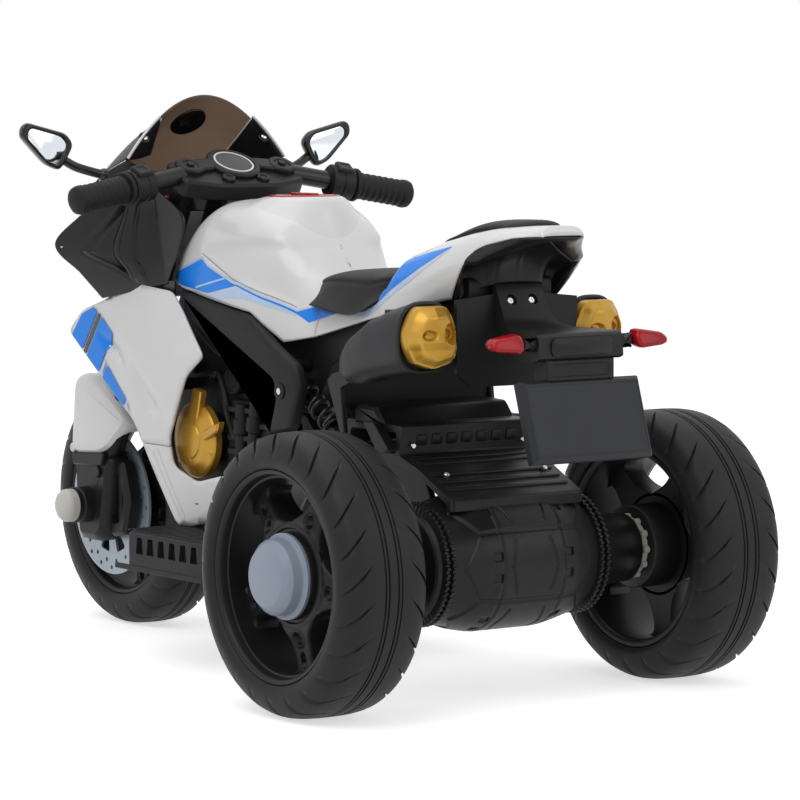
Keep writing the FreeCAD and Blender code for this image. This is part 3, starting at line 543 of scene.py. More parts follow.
def tyre_part(x, y, half_width):
    """Tyre whose columns of points follow the swept grooves, so that their edges stay crisp."""
    scale = half_width / rear_half
    rows = []
    pitch = 2 * math.pi / groove_count
    section = [(-a, r, w, d) for a, r, w, d in tread[:0:-1]] + tread
    for across, radius, width, depth in section:
        row = []
        sweep = math.radians(groove_sweep) * (min(abs(across), 50) / 50) ** 1.6
        width = max(width, 0.9)
        edges = [(-width / 2, 0), (-width * 0.3, depth), (width * 0.12, depth), (width / 2, 0)]
        gap = pitch * radius - width
        edges += [(width / 2 + gap * step / 6, 0) for step in range(1, 6)]
        for groove in range(groove_count):
            for along, drop in edges:
                angle = groove * pitch + sweep + along / radius
                reach = radius - drop
                row.append((x + reach * math.cos(angle), y + across * scale,
                            wheel_radius + reach * math.sin(angle)))
        rows.append(row)
    return grid(rows, wrap=True, close=True)


rim_radius = 111.5
web_radius = 103.0
hub_radius = 46.0
# Spoke: distance from the axle, half width, height of its face over the wheel's middle
spoke = [(54, 34, 25), (58, 31, 25), (62, 25, 24.5), (67, 20.5, 23), (73, 17.5, 21), (80, 15.5, 19.5),
         (88, 14.5, 18.5), (95, 15, 18), (100, 18, 18), (104, 26, 18)]
spoke_back = -12.0


def oval(across, along, half_across, half_along):
    return math.hypot(across / half_across, along / half_along)


def spoke_relief(across, radius):
    """Depth of the ringed recess near the hub and of the slot near the rim."""
    ring = oval(across, radius - 66, 9.5, 8.5)
    slot = oval(across, radius - 89, 5.0, 9.0)
    depth = 6 * (1 - ease(ring, 0.55, 0.75)) - 1.6 * (ease(ring, 0.75, 0.9) - ease(ring, 1.0, 1.2))
    return depth + 5 * (1 - ease(slot, 0.75, 1.0))


def spoke_part(middle, face_scale):
    columns, count = 24, 40
    inner, outer = spoke[0][0], spoke[-1][0]
    front, back = [], []
    for step in range(count + 1):
        radius = inner + (outer - inner) * step / count
        half, face = between(spoke, radius)
        top, foot = [], []
        for column in range(columns + 1):
            share = 2 * column / columns - 1
            across = half * share
            angle = middle + across / radius
            lowered = 3.0 * ease(abs(share), 0.82, 1.0) + spoke_relief(across, radius)
            top.append((radius * math.cos(angle), face * face_scale - lowered, radius * math.sin(angle)))
            foot.append((radius * math.cos(angle), spoke_back * face_scale, radius * math.sin(angle)))
        front.append(top)
        back.append(foot)
    walls = []
    for side in (0, columns):
        walls.append(grid([[row[side] for row in front], [row[side] for row in back]]))
    return join_parts(grid(front), grid(back), *walls)


def rim_part(x, y, half_width, hub_low, hub_high, face_scale=1.0):
    edge = half_width - 5
    casing = [(rim_radius, -edge), (rim_radius - 3, -edge - 1), (rim_radius - 7, -edge + 1),
              (web_radius, -edge + 6), (web_radius, edge - 12), (web_radius + 2, edge - 11),
              (web_radius + 3, edge - 4), (rim_radius - 4, edge - 1), (rim_radius - 2, edge),
              (rim_radius, edge)]
    hub = [(7, hub_low), (hub_radius - 2, hub_low), (hub_radius, hub_low + 2),
           (hub_radius, spoke_back * face_scale), (57, spoke_back * face_scale), (57, 24 * face_scale),
           (54, 26 * face_scale), (50.5, 26 * face_scale), (49, 24 * face_scale),
           (hub_radius, 24 * face_scale), (hub_radius, hub_high - 1), (hub_radius - 1, hub_high),
           (7, hub_high)]
    parts = [spun(casing + casing[:1], 0, 0, 96), spun(hub, 0, 0, 80)]
    for index in range(spoke_count):
        parts.append(spoke_part(math.radians(spoke_start + 360 / spoke_count * index), face_scale))
    points, faces = join_parts(*parts)
    return [(x + a, y + b, wheel_radius + c) for a, b, c in points], faces


def cap_part(x, y):
    """Hub cap: flat face, broad bevel and a stepped skirt."""
    skirt = [(0.01, 32), (45.5, 32), (45.5, 35), (41.5, 36.5), (40, 38.5), (40, 48.5), (39.2, 50),
             (31, 58.4), (29.6, 59), (0.01, 59)]
    return spun(skirt, x, wheel_radius, 72, y)


def add_wheels():
    for name, turn in sides:
        body = "rear_wheel_" + name
        shapes = {
            "rear_tyre": (tyre_part(rear_axle_x, wheel_y, rear_half), tyre_rubber, "tyre"),
            "rear_rim": (rim_part(rear_axle_x, wheel_y, rear_half, -50, 32), rim_black, "black_plastic"),
            "hub_cap": (cap_part(rear_axle_x, wheel_y), cap_blue, "hub_grey")}
        for kind, (part, material, slot) in shapes.items():
            node = kind + "_" + name
            add_piece(node + "_look", turn(part), body, material, [node], sharp=50)
    front = rim_part(front_axle_x, 0, front_half, -41.4, 41.4, 0.5)
    add_piece("front_rim_look", front, "front_wheel", rim_black, ["front_rim"], sharp=50)
    add_piece("front_tyre_look", tyre_part(front_axle_x, 0, front_half), "front_wheel", tyre_rubber,
              ["front_tyre"], sharp=50)


# White shells of the tank and the tail

lower_edge = [(200, 440), (134, 423), (-12, 403), (-61, 371), (-112, 380), (-227, 406), (-326, 425),
              (-364, 432)]
tail_rim = [(-364, 432), (-397, 472), (-407, 486), (-417, 492), (-441, 499.5), (-490, 503)]
# Stations along X: half width low and high, lowest and highest place
tank_stations = [
    (169, 85, 79, 394, 450), (152, 91, 80, 388, 484), (124, 94, 81, 386, 512), (92, 99, 84, 384, 526),
    (50, 103, 84, 380, 528), (12, 104, 83, 374, 525), (-30, 99, 76, 360, 507), (-60, 90, 66, 343, 470),
    (-85, 86, 62, 344, 442), (-111.5, 84, 60, 348, 430)]
tail_stations = [
    (-112, 84, 60, 348, 430), (-170, 88, 62, 362, 437), (-215, 91, 63, 372, 444), (-236, 92, 64, 375, 451),
    (-262, 93, 67, 379, 476), (-285, 95, 69, 385, 484), (-325, 95, 72, 400, 495), (-391, 90, 72, 427, 507),
    (-430, 66, 52, 465, 511), (-464, 34, 26, 486, 512)]
tank_power = 3.8
tail_power = 3.6
shell_wall = 3.0
filler_x = 17.0
filler_z = 531.0


def on_line(line, x):
    """Height of a line of (x, z) points at one x."""
    for (x0, z0), (x1, z1) in zip(line, line[1:]):
        if (x - x0) * (x - x1) <= 0:
            return z0 + (z1 - z0) * (x - x0) / (x1 - x0)
    return line[0][1] if abs(x - line[0][0]) < abs(x - line[-1][0]) else line[-1][1]


def shell_edge(x):
    return on_line(tail_rim, x) if x < tail_rim[0][0] else on_line(lower_edge, x)


def shell_side(stations, power, x, z):
    """Half width of a shell at one place of its side."""
    low, top, z_low, z_top = between(stations, x)
    up = clamp((2 * z - z_low - z_top) / (z_top - z_low), -1, 1)
    half = low + (top - low) * (up + 1) / 2
    return half * (1 - abs(up) ** power) ** (1 / power)


def shell_top(stations, power, x, y):
    """Height of a shell's upper face at one place."""
    _, top, z_low, z_top = between(stations, x)
    share = clamp(abs(y) / top, 0, 0.999)
    return (z_low + z_top) / 2 + (z_top - z_low) / 2 * (1 - share ** power) ** (1 / power)


def even_points(line, count):
    """The line's points, spaced evenly along it."""
    steps = [0.0]
    for a, b in zip(line, line[1:]):
        steps.append(steps[-1] + math.dist(a, b))
    result = []
    index = 0
    for number in range(count):
        want = steps[-1] * number / (count - 1)
        while index < len(line) - 2 and steps[index + 1] < want:
            index += 1
        share = (want - steps[index]) / max(steps[index + 1] - steps[index], 1e-9)
        result.append(tuple(a + (b - a) * share for a, b in zip(line[index], line[index + 1])))
    return result


def shell_row(stations, power, x, relief, columns=40, samples=160, crowding=2.4):
    """Points from the left lower edge over the top to the right one."""
    z_low, z_top = between(stations, x)[2:]
    middle, half_height = (z_low + z_top) / 2, (z_top - z_low) / 2
    start = clamp((shell_edge(x) - middle) / half_height, -0.98, 0.9)
    fine = []
    for step in range(samples + 1):
        up = start + (1 - start) * (1 - (1 - step / samples) ** crowding)
        z = middle + half_height * min(up, 1)
        fine.append((shell_side(stations, power, x, z), z))
    left = [(x, y - relief(x, z), z) for y, z in even_points(fine, columns)]
    return left + [(x, -y, z) for x, y, z in left[-2::-1]]


def shell_part(stations, power, places, relief, closing, base):
    """Skin through rows of points; closing holds (share of width, share of height over the base, way out)."""
    rows = [shell_row(stations, power, x, relief) for x in places]
    end = rows[-1]
    foot = end[0][2] + (end[len(end) // 2][2] - end[0][2]) * base
    way = math.copysign(1, end[0][0] - rows[0][0][0])
    for wide, tall, out in closing:
        rows.append([(x + way * out, y * wide, foot + (z - foot) * tall) for x, y, z in end])
    return grid(rows)


# Closing rows of the two shells: share of width, share of height, way out
round_end = [(0.9, 0.9, 1.5), (0.5, 0.5, 2.5), (0.05, 0.05, 3)]
flat_end = [(0.97, 0.86, 2), (0.94, 0.5, 3.4), (0.9, 0.06, 4)]
# Recess in the tank's side, and the crease along the tail
knee_depth = 4.5
knee_top = [(112, 462), (90, 474), (-6, 487), (-62, 482)]
knee_foot = [(112, 470), (94, 464.6), (22, 438), (-40, 421), (-74.6, 409.6)]
tail_crease = [(-170, 404), (-310, 444), (-345, 456), (-365, 464), (-397, 472)]


def tank_relief(x, z):
    foot, top = on_line(knee_foot, x), on_line(knee_top, x)
    share = ease(z, foot - 1, foot + 5) * (1 - ease(z, top - 9, top + 1))
    return knee_depth * share * ease(x, -84, -62) * (1 - ease(x, 70, 112))


def tail_relief(x, z):
    below = on_line(tail_crease, x) - z
    slope = 0.22 + 0.34 * ease(-x, 290, 390)
    return clamp(below * slope, 0, 20) * ease(-x, 150, 220)


def tank_side(x, z):
    return shell_side(tank_stations, tank_power, x, z) - tank_relief(x, z)


def tail_side(x, z):
    return shell_side(tail_stations, tail_power, x, z) - tail_relief(x, z)


def sticker_part(top, foot, side, lift_off=0.35, columns=8):
    """Thin film on both flanks between an upper and a lower line of (x, z) points."""
    start = max(top[0][0], foot[0][0])
    end = min(top[-1][0], foot[-1][0])
    corners = {x for x, z in top + foot if end < x < start}
    places = sorted(corners | set(steps_between(start, end, int((start - end) / 4) + 2)), reverse=True)
    rows = []
    for x in places:
        low, high = on_line(foot, x), on_line(top, x)
        heights = steps_between(low, max(high, low + 0.05), columns)
        rows.append([(x, side(x, z) + lift_off, z) for z in heights])
    return both_sides(grid(rows))


# Collar: radius, share of the way up from the tank's top to the lid
collar = [(66, -0.02), (60, 0.1), (54, 0.38), (49, 0.72), (45.5, 0.93), (43.5, 1), (42.6, 1.04), (41, 1.05)]


def collar_part(steps=72):
    """Collar under the filler lid, whose foot runs out on the tank's top."""
    rows = []
    for radius, share in collar:
        ring = []
        for step in range(steps):
            angle = 2 * math.pi * step / steps
            x, y = filler_x + radius * math.cos(angle), radius * math.sin(angle)
            rest = shell_top(tank_stations, tank_power, x, y)
            ring.append((x, y, rest + (filler_z - rest) * share))
        rows.append(ring)
    return grid(rows, wrap=True)


def add_tank():
    places = steps_between(169, -111.5, 90)
    part = shell_part(tank_stations, tank_power, places[::-1], tank_relief, round_end, 0.5)
    add_piece("tank_cover_look", part, "chassis", panel_white, ["tank_cover"],
              thick=shell_wall)
    add_piece("filler_collar", collar_part(), "chassis", panel_white)
    lid = [(0, 40.5), (0.8, 41), (2.2, 41), (3, 40), (3.2, 34), (2.2, 33), (2.2, 0.1)]
    start, end = filler_x - 24, filler_x + 24
    outline = rounded([(start, -5), (end, -5), (end, 5), (start, 5)], 4)
    grip = prism(outline, filler_z + 1, filler_z + 4.6, "z")
    part = join_parts(turned(lid, (filler_x, 0, filler_z - 1), (filler_x, 0, filler_z + 9), 64), grip)
    add_piece("filler_cap_look", part, "chassis", lid_red, ["filler_cap"], bevel=0.5)


def add_tail():
    places = steps_between(-112, -364, 72) + steps_between(-365, -464, 60)
    part = shell_part(tail_stations, tail_power, places, tail_relief, flat_end, 0)
    add_piece("tail_cover_look", part, "chassis", panel_white, ["tail_cover"],
              thick=shell_wall)
    add_under_tail()


# Lines of the black panel in the tail's rim, on its left half from the centre to the lower end of the rim
rim_places = [(0.36, -441, 499.2), (0.58, -417, 491.6), (0.7, -407, 485.6), (0.82, -397, 471.8),
              (1, -365, 432.6)]
lens_line = [(0, -446, 0, 497), (0.18, -432, 16, 491.5), (0.36, -420, 32, 485), (0.58, -408, 52, 477.5),
             (0.7, -401, 65, 472.5), (0.82, -395, 77, 470), (1, -364.6, 63, 432.4)]
foot_line = [(0, -388, 0, 450), (0.3, -387, 27, 449), (0.5, -378, 36, 445), (0.72, -367, 48, 439),
             (1, -363, 60, 431)]


def rim_line():
    """The rim's line just inside the white shell."""
    sides = [(share, x + 0.8, tail_side(x, z) - 2.4, z) for share, x, z in rim_places]
    return [(0, -463, 0, 501), (0.18, -462, 28, 500.8)] + sides


def under_tail_point(across, down):
    """Point of the funnel between the lens line and its foot, with a ridge on each side of the middle."""
    top, foot = Vector(between(lens_line, across)), Vector(between(foot_line, across))
    ridge = 1 - clamp(abs(across - 0.36) / 0.3)
    hollow = math.sin(math.pi * down ** 0.8) * (1 - across ** 6)
    return top + (foot - top) * down + Vector((24 - 15 * ridge, 0, 7 - 4 * ridge)) * hollow


def tail_lens_part(shares):
    """Smooth lens between the rim and the lens line, on the left half."""
    rim = rim_line()
    rows = []
    for down in steps_between(0, 1, 10):
        row = []
        for across in shares:
            top, foot = Vector(between(rim, across)), Vector(between(lens_line, across))
            bulge = Vector((-5, 0, -1)) * math.sin(math.pi * down) * clamp((foot - top).length / 16)
            row.append(tuple(top + (foot - top) * down + bulge))
        rows.append(row)
    return grid(rows)


def add_under_tail():
    """Black funnel inside the tail's rim, under two smooth lenses that meet at the top."""
    shares = steps_between(0, 1, 40)
    funnel = grid([[tuple(under_tail_point(across, down)) for across in shares]
                   for down in steps_between(0, 1, 24)])
    add_piece("under_tail_look", both_sides(funnel), "chassis", satin_black, ["under_tail"],
              thick=2.5, sharp=24)
    lenses = both_sides(tail_lens_part(shares))
    add_piece("under_tail_lenses", lenses, "chassis", lens_dark, thick=2)


def add_stickers():
    blue = [
        ([(168, 438.5), (93, 459.5), (79, 451), (14, 432.4)],
         [(168, 435), (143, 427), (75, 420.6), (14, 431.6)], tank_side),
        ([(14, 433.4), (-40, 417.6), (-76, 405.6)], [(14, 431.6), (-40, 415.4), (-76, 403.4)], tank_side),
        ([(-76, 405.6), (-111.4, 414.8)], [(-76, 403.4), (-97, 394.6), (-111.4, 398.4)], tank_side),
        ([(-112.6, 414.6), (-150, 408.2)], [(-112.6, 398.6), (-150, 407.6)], tail_side),
        ([(-178, 410), (-243, 437), (-262, 468), (-290, 475), (-368, 489)],
         [(-178, 409), (-212, 413), (-302, 457), (-368, 488)], tail_side)]
    pale = [
        ([(106, 426.6), (36, 440.6)], [(106, 424.6), (36, 438.6)], tank_side, 0.6),
        ([(75, 419.6), (8, 430.4), (-75, 403.4)], [(75, 418.6), (50, 415), (1, 418.4), (-72, 402.4)],
         tank_side, 0.3),
        ([(168, 441), (93, 462.4), (79, 454), (14, 435.4), (-76, 407.8), (-111.4, 416.8)],
         [(168, 439), (93, 460.2), (79, 451.8), (14, 433.8), (-76, 406), (-111.4, 415.2)], tank_side, 0.3),
        ([(-180, 408.4), (-214, 411.6), (-304, 455.4), (-368, 486.6)],
         [(-180, 407), (-216, 407.6), (-306, 450.6), (-368, 485.6)], tail_side, 0.3)]
    parts = [sticker_part(top, foot, side) for top, foot, side in blue]
    add_piece("blue_stripes", join_parts(*parts), "chassis", film_blue)
    parts = [sticker_part(top, foot, side, off) for top, foot, side, off in pale]
    add_piece("pale_stripes", join_parts(*parts), "chassis", film_pale)
    # Grey strip along the lower crease of the tank's knee recess: painted shade in the crease.
    line = sticker_part([(94, 466), (22, 439.4), (-40, 422.4), (-74.6, 411)],
                        [(94, 465), (22, 438.4), (-40, 421.4), (-74.6, 410)], tank_side, 0.3, 2)
    add_piece("tank_crease_shade", line, "chassis", crease_shade_grey)


# Seat and pillion pads

pad_stations = [
    (-76, 36, 28, 420, 441), (-84, 52, 42, 414, 446), (-100, 74, 56, 412, 450), (-125, 93, 62, 414, 454),
    (-170, 95, 64, 408, 457), (-206, 91, 64, 404, 458), (-230, 80, 60, 420, 458), (-240, 72, 56, 426, 456)]
pillion_stations = [
    (-283, 26, 18, 473, 481), (-290, 33, 27, 472, 488), (-306, 44, 36, 474, 497), (-365, 47, 38, 480, 514),
    (-415, 42, 34, 484, 517), (-430, 34, 27, 488, 516), (-436, 25, 18, 494, 512)]


def pad_part(stations, count, seam_share=0.52):
    """Crowned pad with drawn-in sides and a sewn seam, resting on the shell below it."""
    rows = []
    for x in steps_between(stations[0][0], stations[-1][0], count):
        low, top, z_low, z_top = between(stations, x)
        half = []
        for step in range(25):
            share = step / 24
            if share < seam_share:
                part = share / seam_share
                y = low + (top - low) * part - 3.2 * math.sin(math.pi * part)
                z = z_low + (z_top - z_low) * 0.72 * part
                if part > 0.93:
                    y -= 1.6
            else:
                part = (share - seam_share) / (1 - seam_share)
                y = top * math.cos(part * math.pi / 2) ** 0.8
                z = z_low + (z_top - z_low) * (0.72 + 0.28 * math.sin(part * math.pi / 2))
            rest = shell_top(tail_stations, tail_power, x, y) if x < -112 else z_low
            half.append((x, y, max(z, min(rest + 0.4, z_top - 1)) if step == 0 else z))
        ring = half + [(x, -y, z) for x, y, z in half[-2::-1]]
        rows.append(ring)
    return capped(rows)


def add_pads():
    for name, stations in (("seat_pad", pad_stations), ("pillion_pad", pillion_stations)):
        piece = add_piece(name + "_look", pad_part(stations, 36), "chassis", pad_cover, [name],
                          sharp=60, smooth=1)


# Tail end: bracket, plate, signals and exhausts

plate_across = (0, -1, 0)
plate_up = (0.301, 0, 0.954)
plate_back = (-498.2, 0, 309)
exhaust_y = 111.0
tip_z = 394.0
# Bracket along its middle: place and height of its face, half width, place and height of its inner side
bracket_line = [
    (-387, 449, 30, -381, 447), (-391, 443, 30.5, -384, 434), (-397, 431, 31, -388, 424),
    (-404, 419, 32, -394, 412), (-412, 409, 35, -402, 402), (-424, 404, 42, -418, 384),
    (-440, 402.6, 49, -436, 375), (-470, 402.5, 54, -468, 373), (-490, 402, 55.5, -490, 373),
    (-497, 398, 55.5, -499, 376)]
screw_places = [Vector((-396.5, y, 432)) for y in (-14, 14)]
screw_way = Vector((-18, 0, 9)).normalized()


def bracket_arm():
    lines = [(index,) + row for index, row in enumerate(bracket_line)]
    return strip([tuple(between(lines, place)) for place in steps_between(0, len(lines) - 1, 45)])


def add_bracket():
    wells = [rod(spot - screw_way * 5, spot + screw_way * 8, 6.2) for spot in screw_places]
    front = panel((-496, 0, 387), plate_across, (0, 0, 1), [(40, 10, 0), (40, 10, 4), (37.5, 7.5, 6)], 8)
    holder = [(45, 12, -20), (45, 12, 0), (43, 10, 2), (38, 7, 2), (37, 6, 0.8)]
    front = join_parts(front, panel((-496, 0, 363), plate_across, (0, 0, 1), holder))
    stalk = slab([(54, 382), (54, 399), (64, 394.5), (71.6, 399), (71.6, 383), (64, 387)],
                 [(-484, 1.5), (-485, 0), (-492, 0), (-494, 1.5)], "x", 1)
    shield = prism([(-80, 355), (-60, 340), (60, 340), (80, 355), (80, 433), (31, 438), (-31, 438),
                    (-80, 433)], -388, -383, "x")
    part = join_parts(carved(bracket_arm(), *wells), front, both_sides(stalk), shield)
    add_piece("tail_bracket_look", part, "chassis", satin_black, ["tail_bracket"],
              bevel=1.2)
    head = [(0, 4.4), (1.6, 4.2), (2.4, 3.2), (2.4, 1.4), (1.6, 1.2), (1.6, 0.1)]
    heads = [turned(head, spot - screw_way * 5, spot) for spot in screw_places]
    heads += [rod((-486, y, 358), (-489, y, 358), 3) for y in (-31, 31)]
    add_piece("bracket_screws", join_parts(*heads), "chassis", screw_silver)


def add_plate():
    layers = [(79, 44, 0), (79, 44, 8.5), (78, 43, 9.5), (74.4, 39.4, 14), (73.6, 38.6, 14.3),
              (72.4, 37.4, 14.3), (71.6, 36.6, 13.6)]
    part = panel(plate_back, plate_across, plate_up, layers, 2.5)
    add_piece("number_plate_look", part, "chassis", plate_black, ["number_plate"],
              sharp=30, bevel=0.4)


signal_face = [(75, 386), (74, 396), (79, 403), (110, 398.5), (116, 393), (115, 387.5), (109, 385),
               (80, 382.5)]
signal_lean = 0.35


def leaning(part):
    """The part with its lower end moved to the rear."""
    points, faces = part
    return [(x - signal_lean * (400 - z), y, z) for x, y, z in points], faces


def add_signals():
    lens = slab(signal_face, [(-483, 2), (-485, 0), (-493, 0), (-495.5, 0.8), (-497, 2.4), (-497.6, 4.2)],
                "x", 3, 4)
    add_piece("signal_lenses_look", both_sides(leaning(lens)), "chassis", lens_red, ["signal_lenses"],
              sharp=50)
    back = slab(signal_face, [(-483.4, 1), (-481, 1), (-479, 3)], "x", 3, 4)
    add_piece("signal_backs", both_sides(leaning(back)), "chassis", satin_black,
              sharp=50)


exhaust_stations = [
    (-236, 6, 5, 352, 364), (-238, 14, 12, 345, 371), (-243, 21, 19, 341, 378), (-262, 30, 27, 338, 392),
    (-300, 35, 31, 347, 412), (-370, 38, 34, 356, 431), (-374, 37.5, 33.5, 356.5, 431.5)]


def add_exhausts():
    rows = ring_loft(exhaust_stations, 2.8, 60, 56, exhaust_y)
    lip = rows[-1]
    for share, x in ((0.94, -374.4), (0.93, -368), (0.05, -367)):
        rows.append([(x, exhaust_y + (y - exhaust_y) * share, tip_z + (z - tip_z) * share)
                     for _, y, z in lip])
    arm = block((-332, 55, 398), (-300, exhaust_y, 420))
    stay = slab([(-190, 345), (-180, 337), (-205, 280), (-213, 280), (-206, 330), (-262, 352), (-262, 360)],
                [(98, 0.8), (99, 0), (103, 0), (104, 0.8)], "y", 2)
    part = join_parts(capped(rows), arm, stay)
    add_piece("exhausts_look", both_sides(part), "chassis", exhaust_grey, ["exhausts"],
              sharp=32)


# Gold tips seen from behind, both the same way round: u runs to the left and v upwards
tip_outline = [(-19, 34), (19, 34), (27, 24), (34.5, 6), (33, -9), (24, -26), (0, -34), (-24, -26),
               (-33, -9), (-34.5, 6), (-27, 24)]
tip_crease = [(34, 0), (20, 4.6), (11, 1), (-4, -5), (-12, -18)]
tip_face_x = -385.0
tip_dome = 10.0
large_eye = (-17, 4.5)
small_eye = (12, 3.4)
small_boss = (15, 2.4)
low_knob = (-25, -19)


def bowl(u, v, centre, radii, depth, wall=0.12):
    """Depth of a sunk oval with steep walls."""
    far = math.hypot((u - centre[0]) / radii[0], (v - centre[1]) / radii[1])
    return depth * (1 - ease(far, 1 - wall, 1.0))


def tip_face(u, v):
    """Height of a tip's rear face: two facets that meet on a crease, a large eye and a small one."""
    line = on_line(tip_crease, clamp(v, tip_crease[-1][0], tip_crease[0][0]))
    height = 8 - 0.16 * max(u - line, 0) - 0.28 * max(line - u, 0) - 0.04 * abs(v)
    height -= bowl(u, v, large_eye, (11.5, 11.5), 12)
    height += bowl(u, v, large_eye, (6, 6), 4.5, 0.2) - bowl(u, v, large_eye, (4.2, 4.2), 4, 0.2)
    height -= bowl(u, v, small_eye, (10, 6.4), 6, 0.45)
    height += bowl(u, v, small_boss, (3.2, 3.2), 5, 0.3)
    return height + bowl(u, v, low_knob, (4, 4), 1.8, 0.3)


def tip_part(y, columns=160, rings=54):
    edge = rounded(tip_outline, 5, 4)
    edge = even_points(edge + edge[:1], columns + 1)[:columns]
    rows = []
    for x, scale in ((-368, 0.86), (-374, 0.95), (-377, 0.98), (tip_face_x + 2, 0.98)):
        rows.append([(x, y + u * scale, tip_z + v * scale) for u, v in edge])
    for step in range(rings):
        scale = 0.96 * (1 - step / (rings - 0.5))
        dome = tip_dome * (1 - ease(scale, 0.62, 1.0))
        row = []
        for u, v in edge:
            height = dome + max(tip_face(u * scale, v * scale), -dome)
            row.append((tip_face_x - height, y + u * scale, tip_z + v * scale))
        rows.append(row)
    return capped(rows)


def add_tips():
    part = join_parts(tip_part(exhaust_y), tip_part(-exhaust_y))
    add_piece("exhaust_tips_look", part, "chassis", gold_paint, ["exhaust_tips"], sharp=30)


# Rear axle: barrel, deck, swing arm and springs

barrel = [(0, 74), (38, 74), (41, 72.6), (44, 73.4), (60, 70.4), (80, 65.6), (93, 62), (96, 61.4),
          (97, 66.5), (99, 67), (101, 66.5), (102.5, 61), (104, 61), (105.5, 66.5), (107.5, 67),
          (109.5, 66.5), (111, 59), (115, 57)]


def barrel_relief(y, angle):
    """Raised panels with slanted ends round the barrel, cut by narrow lines."""
    turn = (angle / 60.0) % 1.0
    side = abs(turn - 0.5) * 2
    panel_end = 62 + 22 * side
    rise = 2.2 * (1 - ease(y, panel_end, panel_end + 2)) * ease(side, 0.05, 0.09)
    line = 1.5 * (1 - ease(abs(y - 20 - 10 * side), 1.0, 1.9)) * ease(side, 0.2, 0.3)
    slot = 2.4 * (1 - ease(abs(y - 47), 5, 6)) * (1 - ease(abs(side - 0.7), 0.1, 0.15))
    return rise - line - slot


def barrel_part():
    count = 360
    rows = []
    places = sorted({y for y, _ in barrel} | set(steps_between(0, 95, 95)))
    for y in places:
        radius = on_line(barrel, y)
        row = []
        for step in range(count):
            degrees = 360 * step / count
            reach = radius + (barrel_relief(y, degrees) if y < 95 else 0)
            if 96.5 < y < 110 and step % 6 < 3:
                reach -= 2.0 * ease(radius, 62, 66)
            angle = math.radians(degrees)
            row.append((rear_axle_x + reach * math.cos(angle), y, wheel_radius + reach * math.sin(angle)))
        rows.append(row)
    points, faces = grid(rows, wrap=True)
    sleeve = [(57, 115), (55, 117), (39, 117), (39, 160), (38, 162), (38, 176), (36, 178), (8, 178)]
    return join_parts((points, faces), spun(sleeve, rear_axle_x, wheel_radius, 72))


def add_axle():
    part = both_sides(barrel_part())
    add_piece("axle_housing_look", part, "rear_axle_unit", barrel_black, ["axle_housing"],
              sharp=32)


deck_profile = [
    (-190, 268), (-196, 296), (-300, 294), (-294, 262), (-330, 250), (-388, 222), (-388, 208), (-380, 208),
    (-380, 216), (-328, 243), (-284, 256), (-288, 286), (-204, 286), (-200, 268)]
deck_half = 88.0
deck_ribs = [(-306, 258.2), (-318, 254.0), (-342, 244.2), (-356, 237.4), (-370, 230.6)]
rib_layers = [(80, 4, -3), (80, 4, 1.2), (79, 3, 2)]
key_layers = [(7, 6, -2), (7, 6, 1), (6, 5, 1.8)]


def add_deck():
    edges = [(-deck_half, 0.6), (-deck_half + 1, 0), (deck_half - 1, 0), (deck_half, 0.6)]
    parts = [slab(deck_profile, edges, "y", 3, 3)]
    for x, z in deck_ribs:
        parts.append(panel((x, 0, z), (0, -1, 0), (0.86, 0, 0.42), rib_layers, 1.5))
    for y in steps_between(-60, 60, 6):
        parts.append(panel((-297, y, 278), (0, -1, 0), (-0.19, 0, 0.98), key_layers, 2))
    lip = panel((-388, 0, 215), (0, -1, 0), (0, 0, 1), [(84, 6, -1), (84, 6, 1.4), (83, 5, 2)], 2)
    tab = slab([(-242, 296), (-262, 296), (-290, 268), (-270, 262)], [(87, 0), (99, 0), (100, 1)], "y", 3)
    hump = slab([(-210, 290), (-212, 313), (-252, 311), (-270, 290)],
                [(-90, 4), (-86, 0), (86, 0), (90, 4)], "y", 4)
    part = join_parts(*parts, lip, hump, both_sides(tab))
    add_piece("rear_deck_look", part, "rear_axle_unit", satin_black, ["rear_deck"],
              bevel=0.7)
    bolts = [rod((-299, y, 272), (-302, y, 272), 3.2) for y in (-74, 74)]
    bolts += [rod((-349, y, 242), (-351, y, 246), 3.2) for y in (-66, 66)]
    add_piece("deck_bolts", join_parts(*bolts), "rear_axle_unit", screw_silver)


swing_profile = [
    (-52, 262), (-56, 288), (-84, 291), (-98, 274), (-150, 264), (-215, 262), (-300, 258), (-322, 214),
    (-292, 192), (-250, 225), (-150, 240), (-80, 252)]
shock_y = 70.0
shock_top = Vector((-84, shock_y, 322))
shock_foot = Vector((-143, shock_y, 281))


def add_swing_arm():
    beam = slab(swing_profile, [(57.4, 1), (58.4, 0), (65, 0), (66, 1)], "y", 6)
    axis = (shock_foot - shock_top).normalized()
    seat = rod(shock_foot, shock_foot + axis * 4, 14)
    post = slab([(-136, 266), (-147, 283), (-158, 280), (-166, 262), (-140, 258)],
                [(57.4, 0), (79, 0), (80, 1)], "y", 2)
    cross = block((-285, -60, 252), (-205, 60, 258))
    pin = rod((-70, -66, 275), (-70, 66, 275), 7)
    part = join_parts(both_sides(join_parts(beam, seat, post)), cross, pin)
    add_piece("swing_arm_look", part, "rear_axle_unit", satin_black, ["swing_arm"],
              bevel=0.8)


spring_turns = 5
spring_radius = 11.0
wire_radius = 2.4


def spring_part():
    """Coil of round wire with closed ends between the two spring seats."""
    axis = (shock_foot - shock_top).normalized()
    first, second = frame_of(axis)
    start = shock_top + axis * (4 + wire_radius)
    length = (shock_foot - shock_top).length - 4.2 - 2 * wire_radius
    path = []
    count = spring_turns * 28
    for step in range(count + 1):
        share = step / count
        depth = length * (share - 0.055 * math.sin(4 * math.pi * share) * (1 - share) * share * 4)
        angle = 2 * math.pi * spring_turns * share
        out = first * math.cos(angle) + second * math.sin(angle)
        path.append(start + axis * depth + out * spring_radius)
    return swept(path, wire_radius, 10)


